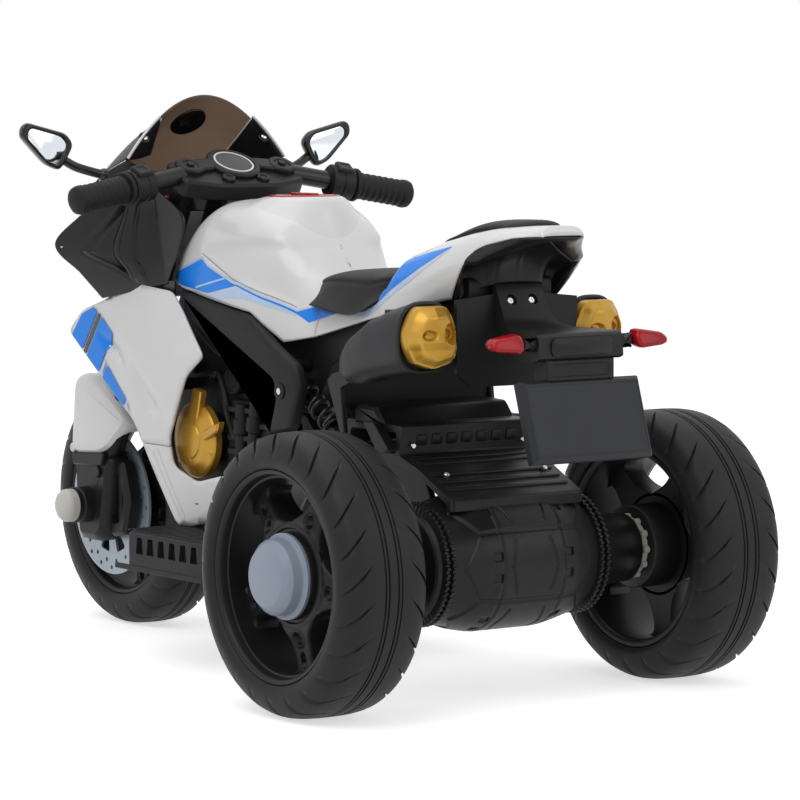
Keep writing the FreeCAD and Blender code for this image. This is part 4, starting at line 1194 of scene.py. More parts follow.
def add_springs():
    spring = add_piece("shock_springs_look", both_sides(spring_part()), None, spring_black,
                       ["shock_springs"], sharp=60)
    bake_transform(spring)
    axis = (shock_foot - shock_top).normalized()
    upper = join_parts(turned([(0, 12), (1, 14), (3, 14), (4, 13)], shock_top, shock_top + axis * 4),
                       rod(shock_top, shock_top + (shock_foot - shock_top) * 0.55, 6))
    add_piece("shock_uppers", both_sides(upper), "chassis", satin_black)


# Sides: engine, gold cover, arms, fairings and footrests

engine_profile = [
    (185, 330), (185, 215), (150, 175), (-30, 175), (-44, 250), (-44, 318), (55, 343), (120, 385)]
engine_y = 70.0
engine_bolts = [(74, 312), (98, 322), (66, 288), (-28, 304), (150, 224), (140, 330)]
engine_hoses = [
    [(70, 78, 306), (60, 82, 296), (52, 83, 280), (44, 82, 262), (30, 78, 250)],
    [(92, 76, 324), (74, 82, 328), (62, 84, 316), (56, 82, 298), (58, 78, 280)],
    [(4, 78, 318), (-10, 83, 312), (-24, 84, 296), (-30, 82, 276), (-32, 78, 258)]]
clutch_x = 107.0
clutch_z = 249.0


def along_y(x, z, y_low, y_high, radius, edge=0.8):
    return rod((x, y_low, z), (x, y_high, z), radius, edge, 32)


def add_engine():
    base = slab(engine_profile, [(55, 0), (engine_y - 2, 0), (engine_y, 2)], "y", 12)
    ringed = [(0, 17), (10, 17), (12, 15.5), (12, 13.5), (10, 12.5), (10, 8.5), (11.5, 7.5), (11.5, 0.1)]
    parts = [base, turned(ringed, (46, engine_y, 322), (46, 90, 322), 48)]
    parts.append(slab([(60, 300), (60, 190), (-20, 190), (-40, 240), (-40, 300)],
                      [(engine_y - 1, 0), (76, 0), (78, 2)], "y", 8))
    for z in range(205, 290, 16):
        fin = [(-36, z), (54, z), (54, z + 7), (-36, z + 7)]
        parts.append(slab(fin, [(77, 0), (82, 0), (83, 1)], "y", 1.5))
    parts.append(along_y(clutch_x, clutch_z, engine_y - 1, 84, 30))
    column = [(0, 9), (16, 9), (18, 11), (34, 11), (36, 8), (58, 8), (60, 6), (70, 6)]
    parts.append(turned(column, (-6, 80, 300), (10, 80, 200)))
    parts.append(turned(column, (26, 79, 296), (30, 79, 200)))
    bolt = [(0, 7), (5, 7), (6, 6), (6, 4), (8, 4), (9, 3)]
    parts += [turned(bolt, (x, engine_y, z), (x, 90, z), 6) for x, z in engine_bolts]
    parts += [swept(smooth_path(path, 6), 3.4, 10) for path in engine_hoses]
    add_piece("engine_covers_look", both_sides(join_parts(*parts)), "chassis", engine_black,
              ["engine_covers"], sharp=32)


def smooth_path(path, parts):
    """Points of a smooth line through a few given ones."""
    rows = [(index,) + tuple(point) for index, point in enumerate(path)]
    return [between(rows, place) for place in steps_between(0, len(path) - 1, parts * (len(path) - 1))]


def add_clutch():
    dish = [(0, 44), (8, 44), (10, 42.5), (11, 40.5), (12.5, 36), (15.5, 31), (16.4, 29), (16.4, 21.5),
            (17.6, 20.5), (18, 19), (18, 0.1)]
    x, z = clutch_x, clutch_z
    parts = [turned(dish, (x, 84, z), (x, 110, z), 72)]
    edges = [(92, 0), (99, 0), (100.5, 1.5)]
    parts.append(slab([(x - 24, z + 58), (x - 6, z + 62), (x + 8, z + 8), (x - 10, z + 4)], edges, "y", 3))
    lever = [(x - 62, z + 26), (x - 58, z + 14), (x - 14, z - 6), (x - 10, z + 6)]
    parts.append(slab(lever, edges, "y", 3))
    for degrees in (200, 265, 320):
        angle = math.radians(degrees)
        inner = (x + 20 * math.cos(angle), z + 20 * math.sin(angle))
        outer = (x + 41 * math.cos(angle), z + 41 * math.sin(angle))
        parts.append(swept([(inner[0], 100.5, inner[1]), (outer[0], 94.5, outer[1])], 1.4, 8))
    add_piece("clutch_covers_look", both_sides(join_parts(*parts)), "chassis", gold_paint,
              ["clutch_covers"], sharp=28)


arm_profile = [
    (127, 420), (-12, 401), (-61, 369), (-108, 347), (-117, 322), (-99, 275), (-51, 266), (-67, 312),
    (-61, 329), (57, 350), (127, 392)]


def add_side_arms():
    body = slab(arm_profile, [(84.5, 2), (86.5, 0), (94, 0), (97, 2), (99, 6)], "y", 9, 5)
    cap = turned([(0, 9), (1, 9.5), (2.5, 9.5), (3.5, 8), (3.5, 5.5), (2, 5), (2, 0.1)], (-80, 98, 318),
                 (-80, 110, 318), 40)
    bosses = join_parts(along_y(-72, 345, 55, 86, 8), along_y(80, 392, 55, 86, 8))
    add_piece("side_arms_look", both_sides(join_parts(body, cap, bosses)), "chassis", arm_black,
              ["side_arms"], sharp=40)
    heads = turned([(0, 4), (1.6, 3.8), (2.2, 2.6), (1.4, 1.4), (1.4, 0.1)], (-80, 100, 318),
                   (-80, 110, 318))
    add_piece("body_screws_look", both_sides(heads), "chassis", screw_silver, ["body_screws"])


fairing_profile = [
    (262, 406), (218, 428), (132, 421), (45, 350), (81, 326), (123, 250), (119, 219), (71, 204),
    (10, 217), (40, 162), (97, 150), (124, 150), (198, 267), (343, 365), (313, 391)]
intake = [(232, 362), (246, 350), (178, 283), (160, 276), (158, 288)]
belly_slot = [(150, 238), (160, 232), (112, 158), (104, 160)]
seam_z = 242.0
fairing_ridge = [(262, 400), (165.5, 375.5), (106, 344), (45, 350)]


def fairing_side(x, z):
    """Outer face of the fairing: widest at mid height, folded along a ridge and in front of the intake."""
    y = 122 - 18 * ((z - 330) / 200) ** 2
    above = z - on_line(fairing_ridge, x)
    y -= 0.16 * clamp(above, 0, 60)
    hollow = (x - 158) * 0.72 - (z - 282)
    behind = clamp(-hollow / 34)
    slot_band = ease(z, 262, 290) * (1 - ease(z, 345, 372))
    y -= 7 * slot_band * (1 - ease(behind, 0.0, 1.0)) * ease(-hollow, -6, 2)
    return y


def filled(outline, holes=(), spacing=7.0):
    """Triangles inside an outline of (x, z) points, with evenly spread points within it."""
    loops = [outline] + list(holes)
    points, edges = [], []
    for loop in loops:
        start = len(points)
        points += [Vector(point) for point in loop]
        edges += [(start + i, start + (i + 1) % len(loop)) for i in range(len(loop))]
    xs, zs = [p[0] for p in outline], [p[1] for p in outline]
    for row in range(int((max(zs) - min(zs)) / spacing) + 1):
        for column in range(int((max(xs) - min(xs)) / spacing) + 1):
            spot = Vector((min(xs) + spacing * (column + 0.5 * (row % 2)), min(zs) + spacing * row))
            if inside(spot, outline) and not any(inside(spot, hole) for hole in holes):
                if min((spot - point).length for point in points[:len(edges)]) > spacing * 0.4:
                    points.append(spot)
    spots, _, faces, *_ = geometry.delaunay_2d_cdt(points, edges, [], 2, 0.001)
    return [tuple(spot) for spot in spots], faces


def inside(spot, loop):
    crossings = 0
    for (x0, z0), (x1, z1) in zip(loop, loop[1:] + loop[:1]):
        if (z0 > spot[1]) != (z1 > spot[1]) and spot[0] < x0 + (x1 - x0) * (spot[1] - z0) / (z1 - z0):
            crossings += 1
    return crossings % 2 == 1


def fine_loop(outline, corner, spacing=5.0):
    """Rounded outline with points no further apart than the spacing."""
    loop = rounded(outline, corner)
    result = []
    for a, b in zip(loop, loop[1:] + loop[:1]):
        count = max(1, int(math.dist(a, b) / spacing))
        result += [(a[0] + (b[0] - a[0]) * k / count, a[1] + (b[1] - a[1]) * k / count)
                   for k in range(count)]
    return result


def cut_level(outline, level, keep_above):
    """The part of a closed outline on one side of a level line."""
    result = []
    for a, b in zip(outline, outline[1:] + outline[:1]):
        a_in, b_in = (a[1] >= level) == keep_above, (b[1] >= level) == keep_above
        if a_in:
            result.append(a)
        if a_in != b_in:
            result.append((a[0] + (b[0] - a[0]) * (level - a[1]) / (b[1] - a[1]), level))
    return result


def side_skin(outline, holes, side, off=0.0, spacing=7.0):
    spots, faces = filled(outline, holes, spacing)
    return [(x, side(x, z) + off, z) for x, z in spots], faces


def hole_wall(loop, side, depth, lean=0.0):
    """Wall that runs inwards from the edge of a hole."""
    rows = []
    for share in (0, 0.08, 0.5, 1):
        rows.append([(x + lean * share, side(x, z) - 0.2 - depth * share, z) for x, z in loop])
    return grid(rows, wrap=True)


def add_fairings():
    whole = fine_loop(fairing_profile, 10)
    slot = fine_loop(intake, 5, 3)
    vent = fine_loop(belly_slot, 3, 3)
    upper = side_skin(cut_level(whole, seam_z, True), [slot], fairing_side)
    lower_loop = cut_level(whole, seam_z - 0.8, False)
    lower = side_skin(lower_loop, [vent], lambda x, z: fairing_side(x, z) - 0.4)
    walls = hole_wall(slot, fairing_side, 20, 10)
    boss = along_y(140, 312, engine_y, fairing_side(140, 312) - 1, 7)
    low_boss = along_y(75, 184, engine_y, fairing_side(75, 184) - 1, 7)
    for name, turn in sides:
        node = "side_fairing_" + name
        add_piece(node + "_look", turn(upper), "chassis", panel_white, [node], thick=3,
                  sharp=24)
        add_piece(node + "_inside", turn(join_parts(walls, boss)), "chassis", satin_black)
    add_piece("belly_pans_look", both_sides(lower), "chassis", panel_white, ["belly_pans"],
              thick=3, sharp=24)
    add_piece("belly_pan_inside", both_sides(join_parts(hole_wall(vent, fairing_side, 14, 4), low_boss)),
              "chassis", satin_black)


# Bars across the fairing's front, in the colours of the stripes: (along the front edge, off it)

bar_origin = Vector((343, 365))
bar_along = Vector((-0.8285, -0.56))
bar_across = Vector((-0.56, 0.8285))
blue_bars = [[(10, 2), (40, 2), (40, 58), (30, 58), (14, 36)], [(52, 2), (84, 2), (84, 58), (52, 60)],
             [(95, 2), (150, 2), (150, 12), (95, 21)]]
dark_bars = [[(43, 2), (49, 2), (49, 60), (43, 59)]]
pale_bars = [[(87, 2), (92, 2), (92, 22), (87, 22)], [(153, 2), (166, 2), (153, 11)]]


def add_fairing_bars():
    for name, bars, film in (("blue", blue_bars, film_blue), ("dark", dark_bars, film_dark),
                             ("pale", pale_bars, film_pale)):
        parts = []
        for bar in bars:
            loop = [tuple(bar_origin + bar_along * u + bar_across * v) for u, v in bar]
            parts.append(side_skin(fine_loop(loop, 1, 3), [], fairing_side, 1.5, 3.5))
        add_piece("fairing_bars_" + name, both_sides(join_parts(*parts)), "chassis", film)


def footrest_part(bare_low=0, bare_high=0):
    """Hollow tread with a chamfered front corner, windows in its outer wall and ribs on its top."""
    plan = [(-60, 40), (-60, 190), (96, 190), (125, 168), (125, 40)]
    shell = slab(plan, [(106, 0), (147, 0), (149, 1.5), (149.6, 4)], "z", 3)
    hollow = slab([(-56, 44), (-56, 180), (94, 180), (121, 163), (121, 44)], [(104, 0), (145, 0)], "z", 2)
    windows = []
    for index in range(6):
        start = -50 + index * 23
        windows.append(slab([(start, 126), (start + 16, 126), (start + 13, 145), (start + 3, 145)],
                            [(183, 0), (192, 0)], "y", 1.5))
    body = carved(shell, hollow, *windows)
    places = [x for x in steps_between(-52, 112, 16) if not bare_low < x < bare_high]
    ribs = [block((x, 96, 149), (x + 5, 178, 150.6)) for x in places]
    edging = [block((-56, 92, 149), (118, 95, 151)), block((-56, 181, 149), (98, 184, 151))]
    ledge = slab([(-60, 106), (125, 106), (125, 112), (-60, 112)], [(188, 0), (190.6, 0), (191.2, 0.5)],
                 "y", 1)
    return join_parts(body, *ribs, *edging, ledge)


def add_footrests():
    lugs = [slab([(-18, 149), (-2, 149), (-4, 162), (-16, 162)],
                 [(y, 0.4), (y + 0.6, 0), (y + 3.4, 0), (y + 4, 0.4)], "y", 2)
            for y in (-182.5, -111.5)]
    pin = along_y(-10, 156, -182, -108, 2.4)
    part = join_parts(footrest_part(), mirrored(footrest_part(-26, 76)), *lugs, pin)
    add_piece("footrests_look", part, "chassis", tread_black, ["footrests"], bevel=0.6)
    plate = slab([(-14, 152), (72, 156), (72, 162), (-14, 162)],
                 [(-178, 1), (-177, 0), (-113, 0), (-112, 1)], "y", 2)
    ribs = [block((x, -172, 161.5), (x + 4, -118, 163)) for x in steps_between(0, 62, 6)]
    hinge = along_y(-10, 156, -178, -112, 5)
    add_piece("foot_pedal_look", join_parts(plate, hinge, *ribs), "foot_pedal", tread_black,
              ["foot_pedal"], bevel=0.6)


# Steering: fork, fender, clamp, bars and grips

rake = math.radians(27.3)
steer_up = Vector((-math.sin(rake), 0, math.cos(rake)))
steer_ahead = Vector((math.cos(rake), 0, math.sin(rake)))
steer_foot = Vector((362, 0, wheel_radius))
leg_ahead = 13 * math.cos(rake)
leg_y = 64.0
clamp_low = 434.0
clamp_high = 456.0
grip_inner = 157.0
grip_outer = 236.0
grip_ribs = 7


def on_fork(height, ahead=0.0, side=0.0):
    """Point by its distance up the steering axis, ahead of it and to the left."""
    return steer_foot + steer_up * height + steer_ahead * ahead + Vector((0, side, 0))


def bar_point(side):
    share = (side - grip_inner) / (grip_outer - grip_inner)
    return on_fork(444 - 7 * share, -10.4 - 16.2 * share, side)


def fork_slab(outline, layers, corner=4.0):
    """Plate square to the steering axis: outline of (ahead, side), layers of (height, inset)."""
    outline = rounded(outline, corner)
    return capped([[tuple(on_fork(height, a, s)) for a, s in inset(outline, cut)]
                   for height, cut in layers])


def add_fork():
    foot_on_leg, top_on_leg = (on_fork(height, leg_ahead, leg_y) for height in (60, clamp_high))
    stages = [(0, 15), (150, 15), (151, 13.6), (168, 13.6), (169, 15), (396, 15)]
    leg = turned(stages, foot_on_leg, top_on_leg, 32)
    cap = turned([(-9, 18), (5, 18), (7, 16), (7, 11), (5.5, 10), (5.5, 5), (8.5, 4.5), (8.5, 0.1)],
                 on_fork(clamp_high, leg_ahead, leg_y), on_fork(480, leg_ahead, leg_y), 8)
    foot = slab([(408, 207), (319, 213), (338, 118), (352, 106), (398, 106), (404, 150)],
                [(50, 2), (52, 0), (70, 0), (76, 3), (80, 9)], "y", 14, 5)
    calliper = slab([(340, 204), (312, 208), (296, 160), (308, 118), (340, 112)],
                    [(50, 1), (51, 0), (64, 0), (68, 4)], "y", 8)
    window = slab([(332, 190), (320, 192), (308, 160), (316, 132), (334, 128)], [(60, 0), (75, 0)], "y", 6)
    spoke_bar = slab([(322, 196), (316, 196), (314, 122), (320, 122)], [(58, 0), (66, 0), (67, 1)], "y", 1)
    boss = turned([(0, 22), (42, 22), (44, 20), (47, 20), (48, 22), (50, 22)],
                  (front_axle_x, 50, wheel_radius), (front_axle_x, 110, wheel_radius), 40)
    clasp = slab([(404, 212), (330, 216), (334, 200), (402, 197)], [(49, 0), (82, 0), (83.5, 1.5)], "y", 3)
    bolt = along_y(346, 192, 78, 84, 7)
    part = join_parts(leg, cap, foot, carved(calliper, window), spoke_bar, boss, clasp, bolt)
    add_piece("fork_legs_look", both_sides(part), "steering", satin_black, ["fork_legs"],
              sharp=32)
    dome = [(0.01, 118), (7, 117.8), (13, 116.6), (17.4, 113.6), (19.6, 110), (20, 107), (20, 100),
            (0.01, 100)]
    add_piece("axle_caps_look", both_sides(spun(dome, front_axle_x, wheel_radius, 48)), "steering",
              cap_cream, ["axle_caps"], sharp=40)


arch_radius = 161.0
arch_start = 79.0
arch_pitch = 2.25
fender_profile = [(397, 313), (408, 207), (326, 213), (265, 260), (341, 308)]


def arch_part(steps=24, columns=20):
    """Shell over the front wheel, bent down at its sides."""
    rows = []
    for step in range(steps + 1):
        angle = math.radians(arch_start + step * arch_pitch)
        row = []
        for column in range(columns + 1):
            across = 2 * column / columns - 1
            reach = arch_radius - 6 * abs(across) ** 3
            row.append((front_axle_x + reach * math.cos(angle), 48 * across,
                        wheel_radius + reach * math.sin(angle)))
        rows.append(row)
    return grid(rows)


def add_fender():
    outer = slab(fender_profile, [(48, 0), (66, 0), (75, 1), (81, 3.5), (84.5, 7), (86, 12)], "y", 25, 7)
    hollow = slab([(394, 318), (404, 190), (330, 190), (273, 258), (342, 304)],
                  [(51, 0), (70, 1), (76, 3.5), (80, 8)], "y", 20)
    cuff = carved(outer, hollow, along_y(front_axle_x, wheel_radius, 40, 60, 153.5))
    ridge = swept([(398, 68, 306), (404, 70, 262), (406.5, 70, 214)], 2.0, 8)
    bolt = turned([(0, 5.5), (3, 5.5), (4, 4.4), (4, 2.4), (3, 2), (3, 0.1)], (400, 81, 218),
                  (400, 92, 218), 24)
    add_piece("fender_arch", arch_part(), "steering", panel_white, thick=3)
    part = both_sides(join_parts(cuff, ridge, bolt))
    add_piece("front_fender_look", part, "steering", panel_white, ["front_fender"],
              sharp=26, bevel=0.5)


def add_clamp():
    half = [(44, 0), (40, 40), (32, 84), (-16, 84), (-28, 40)]
    outline = half + [(ahead, -side) for ahead, side in half[:0:-1]]
    edges = [(clamp_low, 2), (clamp_low + 2, 0), (clamp_high - 3, 0), (clamp_high, 3)]
    parts = [fork_slab(outline, edges, 8)]
    badge = [(0, 33), (4, 33), (6, 31), (6.4, 27.5), (4.8, 26.5), (4.8, 0.1)]
    parts.append(turned(badge, on_fork(clamp_high, 18), on_fork(480, 18), 56))
    for side in (-1, 1):
        parts.append(fork_slab([(30, 30 * side), (6, 30 * side), (0, 58 * side), (24, 58 * side)],
                               [(clamp_high - 1, 0), (clamp_high + 4, 0), (clamp_high + 6, 2)], 5))
        parts.append(turned([(0, 9), (3, 9), (4, 8), (4, 5), (2.5, 4.5), (2.5, 0.1)],
                            on_fork(clamp_high, -14, 24 * side), on_fork(480, -14, 24 * side), 6))
    add_piece("upper_clamp_look", join_parts(*parts), "steering", satin_black, ["upper_clamp"],
              bevel=0.8)
    base, tip = on_fork(clamp_high + 4.6, 18), on_fork(480, 18)
    face = turned([(0, 26), (0.8, 25.4), (1.2, 0.1)], base, tip, 56)
    add_piece("badge_disc", face, "steering", gloss_black)
    ring = turned([(0.6, 24.6), (1.5, 24.4), (1.7, 23.6), (1.6, 22.6), (0.8, 22.4)], base, tip, 56)
    add_piece("badge_ring", ring, "steering", panel_white)


def add_handlebar():
    start, end = bar_point(76), bar_point(grip_outer - 3)
    length = (end - start).length
    bar = turned([(0, 11), (length - 1, 11), (length, 10)], start, end, 32)
    add_piece("handlebar_look", both_sides(bar), "steering", bar_black, ["handlebar"])


def add_grips():
    """Ribbed grips with a collar at the inner end and a round outer end."""
    low, high = bar_point(grip_inner), bar_point(grip_outer)
    length = (high - low).length
    stages = [(0, 11.5), (0, 19), (1.5, 20), (4, 20), (5.5, 19), (5.5, 15)]
    pitch = (length - 24) / grip_ribs
    for index in range(grip_ribs):
        at = 6.5 + pitch * index
        stages += [(at, 15.0), (at + pitch * 0.25, 15.9), (at + pitch * 0.5, 16.3),
                   (at + pitch * 0.75, 15.9)]
    stages += [(length - 17, 15.4), (length - 15, 16.8), (length - 10, 17), (length - 5, 15.6),
               (length - 1.5, 11), (length, 5), (length, 0.1)]
    add_piece("grips_look", both_sides(turned(stages, low, high, 36)), "steering", grip_rubber, ["grips"],
              sharp=30)


def add_switches():
    """Switch housings beside the grips: a ring round the bar, a raised pod and a block ahead of it."""
    start, end = bar_point(126), bar_point(155)
    length = (end - start).length
    ring = turned([(0, 14), (0, 18.5), (1.5, 20), (12, 20), (12.5, 19), (14.5, 19), (15, 20),
                   (length - 1.5, 20), (length, 18.5), (length, 14)], start, end, 36)
    middle = bar_point(141)
    along = (end - start).normalized()
    ahead = along.cross(steer_up).normalized()
    layers = [(10, 10, 0), (10, 10, 11), (8.5, 8.5, 13), (6, 6, 13), (5, 5, 12)]
    pod = panel(middle + steer_up * 10, along, -ahead, layers, 2.5)
    lever = panel(middle + ahead * 14, along, steer_up, [(8, 7, 0), (8, 7, 8), (6, 5, 10)], 2)
    part = both_sides(join_parts(ring, pod, lever))
    add_piece("switch_housings_look", part, "steering", satin_black, ["switch_housings"],
              bevel=0.6)


# Mirrors

mirror_ball = Vector((255, 124, 553))
ball_radius = 8.0
mirror_centre = Vector((268, 198, 587))
mirror_outline = [(-36, 2), (-26, 15), (26, 28), (33, 23), (34, 12), (0, -22), (-16, -28), (-24, -20)]


def mirror_ring(scale, x):
    edge = rounded(mirror_outline, 7, 5)
    return [(mirror_centre.x + x, mirror_centre.y + y * scale, mirror_centre.z + z * scale)
            for y, z in edge]


def add_mirrors():
    shell = [(-7, 0.76), (-9, 0.78), (-9.6, 0.84), (-9, 0.95), (-7, 1.0), (-2, 1.0), (4, 0.93), (8, 0.74),
             (10.5, 0.45), (11.4, 0.1)]
    rows = [mirror_ring(0.74, -6)] + [mirror_ring(scale, x) for x, scale in shell]
    stalk = swept(smooth_path([mirror_ball, (258, 140, 557), (264, 158, 563), (267, 174, 572)], 5), 5.5, 14)
    ball = []
    for a in steps_between(-math.pi / 2, math.pi / 2, 12):
        centre = mirror_ball + Vector((0, 0, ball_radius * math.sin(a)))
        ball.append(ring_at(centre, (0, 0, 1), max(ball_radius * math.cos(a), 0.05), 24))
    housing = join_parts(capped(rows), stalk, capped(ball))
    pane = capped([mirror_ring(0.78, -6), mirror_ring(0.78, -7.4), mirror_ring(0.75, -7.8)])
    for name, turn in sides:
        body = "mirror_" + name
        add_piece(body + "_look", turn(housing), body, gloss_black, [body], sharp=40)
        add_piece(body + "_glass", turn(pane), body, mirror_glass)


# Screen over the nose, with a black panel on each side of it

# Arches from its top to its foot: x in the middle and its change at the edge, z and its drop, half width
screen_arches = [(0, 230, -2, 647, 76, 108), (1, 283, 4, 612, 62, 108), (2, 338, 4, 556, 30, 94)]
wing_inner = [(0, 226, 64, 618), (0.5, 246, 59, 598), (1, 268, 53, 577)]
disc_centre = (-0.03, 0.84)
disc_rings = (0.2, 12, 20.5, 21.5)


def screen_point(across, down):
    """Point of the screen: across runs from -1 to 1, down from 0 at its top to 2 at its foot."""
    x_mid, x_drop, z_mid, z_drop, half = between(screen_arches, down)
    return Vector((x_mid + x_drop * across ** 2, half * across, z_mid - z_drop * across ** 2))


def wing_point(along, inward):
    """Point of a side panel: along runs down the screen's edge, inward from that edge."""
    edge = screen_point(0.6 + 0.4 * along, 0) + Vector((-3, 1.5 * along, 1))
    inner = Vector(between(wing_inner, along))
    sag = 5 * math.sin(math.pi * inward) * along
    return edge + (inner - edge) * inward + Vector((sag, 0, -sag * 0.4))


def disc_part(steps=48):
    """Round disc on the rear face of the screen."""
    rings = []
    for radius in disc_rings:
        off = 1.6 if radius < disc_rings[-1] else 1.1
        ring = []
        for step in range(steps):
            angle = 2 * math.pi * step / steps
            across = disc_centre[0] + radius / 108 * math.cos(angle)
            down = disc_centre[1] + radius / 64 * math.sin(angle)
            ring.append(screen_point(across, down) + Vector((-1.6, 0, -2.4)) * off)
        rings.append(ring)
    return grid(rings, wrap=True)


def add_screen():
    rows = [[screen_point(across, down) for across in steps_between(-1, 1, 40)]
            for down in steps_between(0, 2, 40)]
    add_piece("windscreen_look", grid(rows), "chassis", tinted_screen, ["windscreen"],
              thick=2.5)
    add_piece("screen_disc", disc_part(), "chassis", gloss_black, thick=0.6)


def add_screen_wings():
    """Black panels beside the screen, with a white line along both edges."""
    places = steps_between(0, 1, 20)
    wing = grid([[wing_point(along, inward) for inward in steps_between(0, 1, 12)] for along in places])
    flank = grid([[screen_point(across, down) + Vector((-1, 2.4, 0.8))
                   for across in steps_between(0.72, 1.0, 10)]
                  for down in steps_between(0.02, 1.5, 24)])
    part = both_sides(join_parts(wing, flank))
    add_piece("screen_wings", part, "chassis", satin_black, thick=2)
    edges = swept([wing_point(along, 0) + Vector((-1, 0.6, 0.8)) for along in places], 1.7, 8)
    lines = swept([wing_point(along, 1) + Vector((-0.8, -0.4, 0.6)) for along in places], 0.9, 6)
    add_piece("screen_lines", both_sides(join_parts(edges, lines)), "chassis", panel_white)


def add_screen_screws():
    spot, way = wing_point(0.55, 0.16), Vector((-0.8, -0.1, 0.5)).normalized()
    dish = [(0, 7), (2.5, 7), (3, 6.4), (3, 5.2), (1.5, 5), (1.5, 0.1)]
    cup = turned(dish, spot - way * 0.6, spot + way * 9)
    add_piece("screen_screw_cups", both_sides(cup), "chassis", gloss_black)
    head = turned([(0, 4), (2.2, 3.8), (3, 2.4), (3, 0.1)], spot + way, spot + way * 9)
    add_piece("screen_screws", both_sides(head), "chassis", screw_silver)


# Nose skin: rings from its rear rim to its front, each from the top of the side to its foot
nose_rings = [
    [(229, 110, 571), (252, 126, 553), (262, 143, 515), (304, 163, 472), (284, 141, 438), (264, 122, 408)],
    [(283, 109, 550), (300, 116, 532), (318, 121, 505), (338, 128, 468), (322, 113, 434), (308, 98, 406)],
    [(338, 95, 526), (346, 98, 514), (358, 98, 496), (368, 97, 464), (360, 88, 432), (350, 76, 409)],
    [(390, 62, 494), (394, 63, 484), (398, 62, 474), (404, 60, 454), (400, 56, 432), (394, 50, 415)],
    [(434, 26, 464), (436, 27, 459), (437, 27, 452), (438, 27, 444), (437, 25, 434), (434, 22, 424)]]
liner_inside = [(222, 92, 562), (205, 92, 540), (188, 93, 512), (170, 95, 462), (160, 98, 445),
                (152, 101, 428)]
liner_end = [(221, 92, 561), (188, 91, 535), (132, 90, 506), (138, 93, 466), (146, 97, 446),
             (151, 101, 428)]


def on_ring(ring, down):
    return between([(index,) + place for index, place in enumerate(ring)], down)


def nose_point(down, ahead):
    """Point of the nose's left side: down runs from 0 to 5, ahead from 0 at the rim to 4 at the front."""
    rows = [(index,) + tuple(on_ring(ring, down)) for index, ring in enumerate(nose_rings)]
    return Vector(between(rows, ahead))


def nose_patch(downs, aheads, off):
    """Part of the nose's side, lifted off it by a distance."""
    rows = []
    for down in downs:
        row = []
        for ahead in aheads:
            here = nose_point(down, ahead)
            lower = nose_point(down + 0.05, ahead) - here
            further = nose_point(down, ahead + 0.05) - here
            row.append(here + further.cross(lower).normalized() * off)
        rows.append(row)
    return grid(rows)


def across_nose(ahead, top, rise):
    """Points from the left side's edge over the middle to the right one, higher in the middle by a rise."""
    edge = nose_point(0 if top else 5, ahead)
    return [(edge.x + 4 * (1 - a * a), edge.y * a, edge.z + rise * (1 - a * a))
            for a in steps_between(1, -1, 24)]


def nose_part():
    """Both sides, the bonnet between their tops, the chin between their feet and the front."""
    side = nose_patch(steps_between(0, 5, 50), steps_between(0, 4, 40), 0)
    bonnet = grid([across_nose(ahead, True, between([(2, 30), (3, 18), (4, 3)], ahead)[0])
                   for ahead in steps_between(2, 4, 20)])
    chin = grid([across_nose(ahead, False, -5) for ahead in steps_between(1.7, 4, 20)])
    front = []
    for down in steps_between(0, 5, 20):
        edge = nose_point(down, 4)
        front.append([(edge.x + 3 * (1 - a * a), edge.y * a, edge.z) for a in steps_between(1, -1, 12)])
    return join_parts(both_sides(side), bonnet, chin, grid(front))


def add_nose():
    add_piece("nose_fairing_look", nose_part(), "chassis", panel_white, ["nose_fairing"],
              thick=2.4, sharp=40)


def add_headlight():
    lamp = nose_patch(steps_between(0.7, 2.5, 14), steps_between(2.1, 3.5, 14), 1.6)
    add_piece("headlight_look", both_sides(lamp), "chassis", clear_lens, ["headlight"],
              thick=1.4)
    bezel = nose_patch(steps_between(0.55, 2.65, 14), steps_between(1.98, 3.62, 14), 0.5)
    add_piece("headlight_bezels", both_sides(bezel), "chassis", gloss_black,
              thick=0.8)


# Black liner inside the nose's rim

liner_out = Vector((-0.44, 0.9, 0))
leaf_edge = [(1.1, 0.52), (3.2, 0.2), (4.4, 0.52)]
hollow_depth = 8.0
ridge_height = 3.5


def liner_relief(down, inward):
    """Height of the liner over its plain surface: an angular hollow and an upright ridge behind it."""
    start = on_line(leaf_edge, clamp(down, 1.1, 4.4))
    hollow = ease(inward, start, start + 0.13) * (1 - ease(inward, 0.5, 0.57))
    ridge = ease(inward, 0.6, 0.63) * (1 - ease(inward, 0.72, 0.75))
    ridge = ridge * ease(down, 0.6, 1.2) * (1 - ease(down, 4.2, 4.7))
    return ridge_height * ridge - hollow_depth * hollow


def liner_point(down, inward):
    rim = nose_point(down, 0) + Vector((-0.5, -1.2, 0))
    inside_place = Vector(on_ring(liner_inside, down))
    return rim + (inside_place - rim) * inward + liner_out * liner_relief(down, inward)


def shelf_part():
    """Surface between the screen's foot and the dash."""
    rows = []
    for share in steps_between(0, 1, 10):
        row = []
        for across in steps_between(-1, 1, 24):
            foot = screen_point(across, 2) + Vector((-3, 0, -2))
            row.append(foot.lerp(Vector((290, 72 * across, 521)), share))
        rows.append(row)
    return grid(rows)


def add_liner():
    downs = steps_between(0, 5, 80)
    skin = grid([[liner_point(down, inward) for inward in steps_between(0, 1, 70)] for down in downs])
    wall = grid([[Vector(on_ring(liner_inside, down)).lerp(Vector(on_ring(liner_end, down)), share)
                  for share in steps_between(0, 1, 10)] for down in downs])
    flap = prism([(138, 388), (166, 388), (170, 432), (136, 432)], 99.5, 101.5, "y")
    part = join_parts(both_sides(join_parts(skin, wall, flap)), shelf_part())
    add_piece("cowl_liner_look", part, "chassis", liner_black, ["cowl_liner"], thick=2,
              sharp=30)


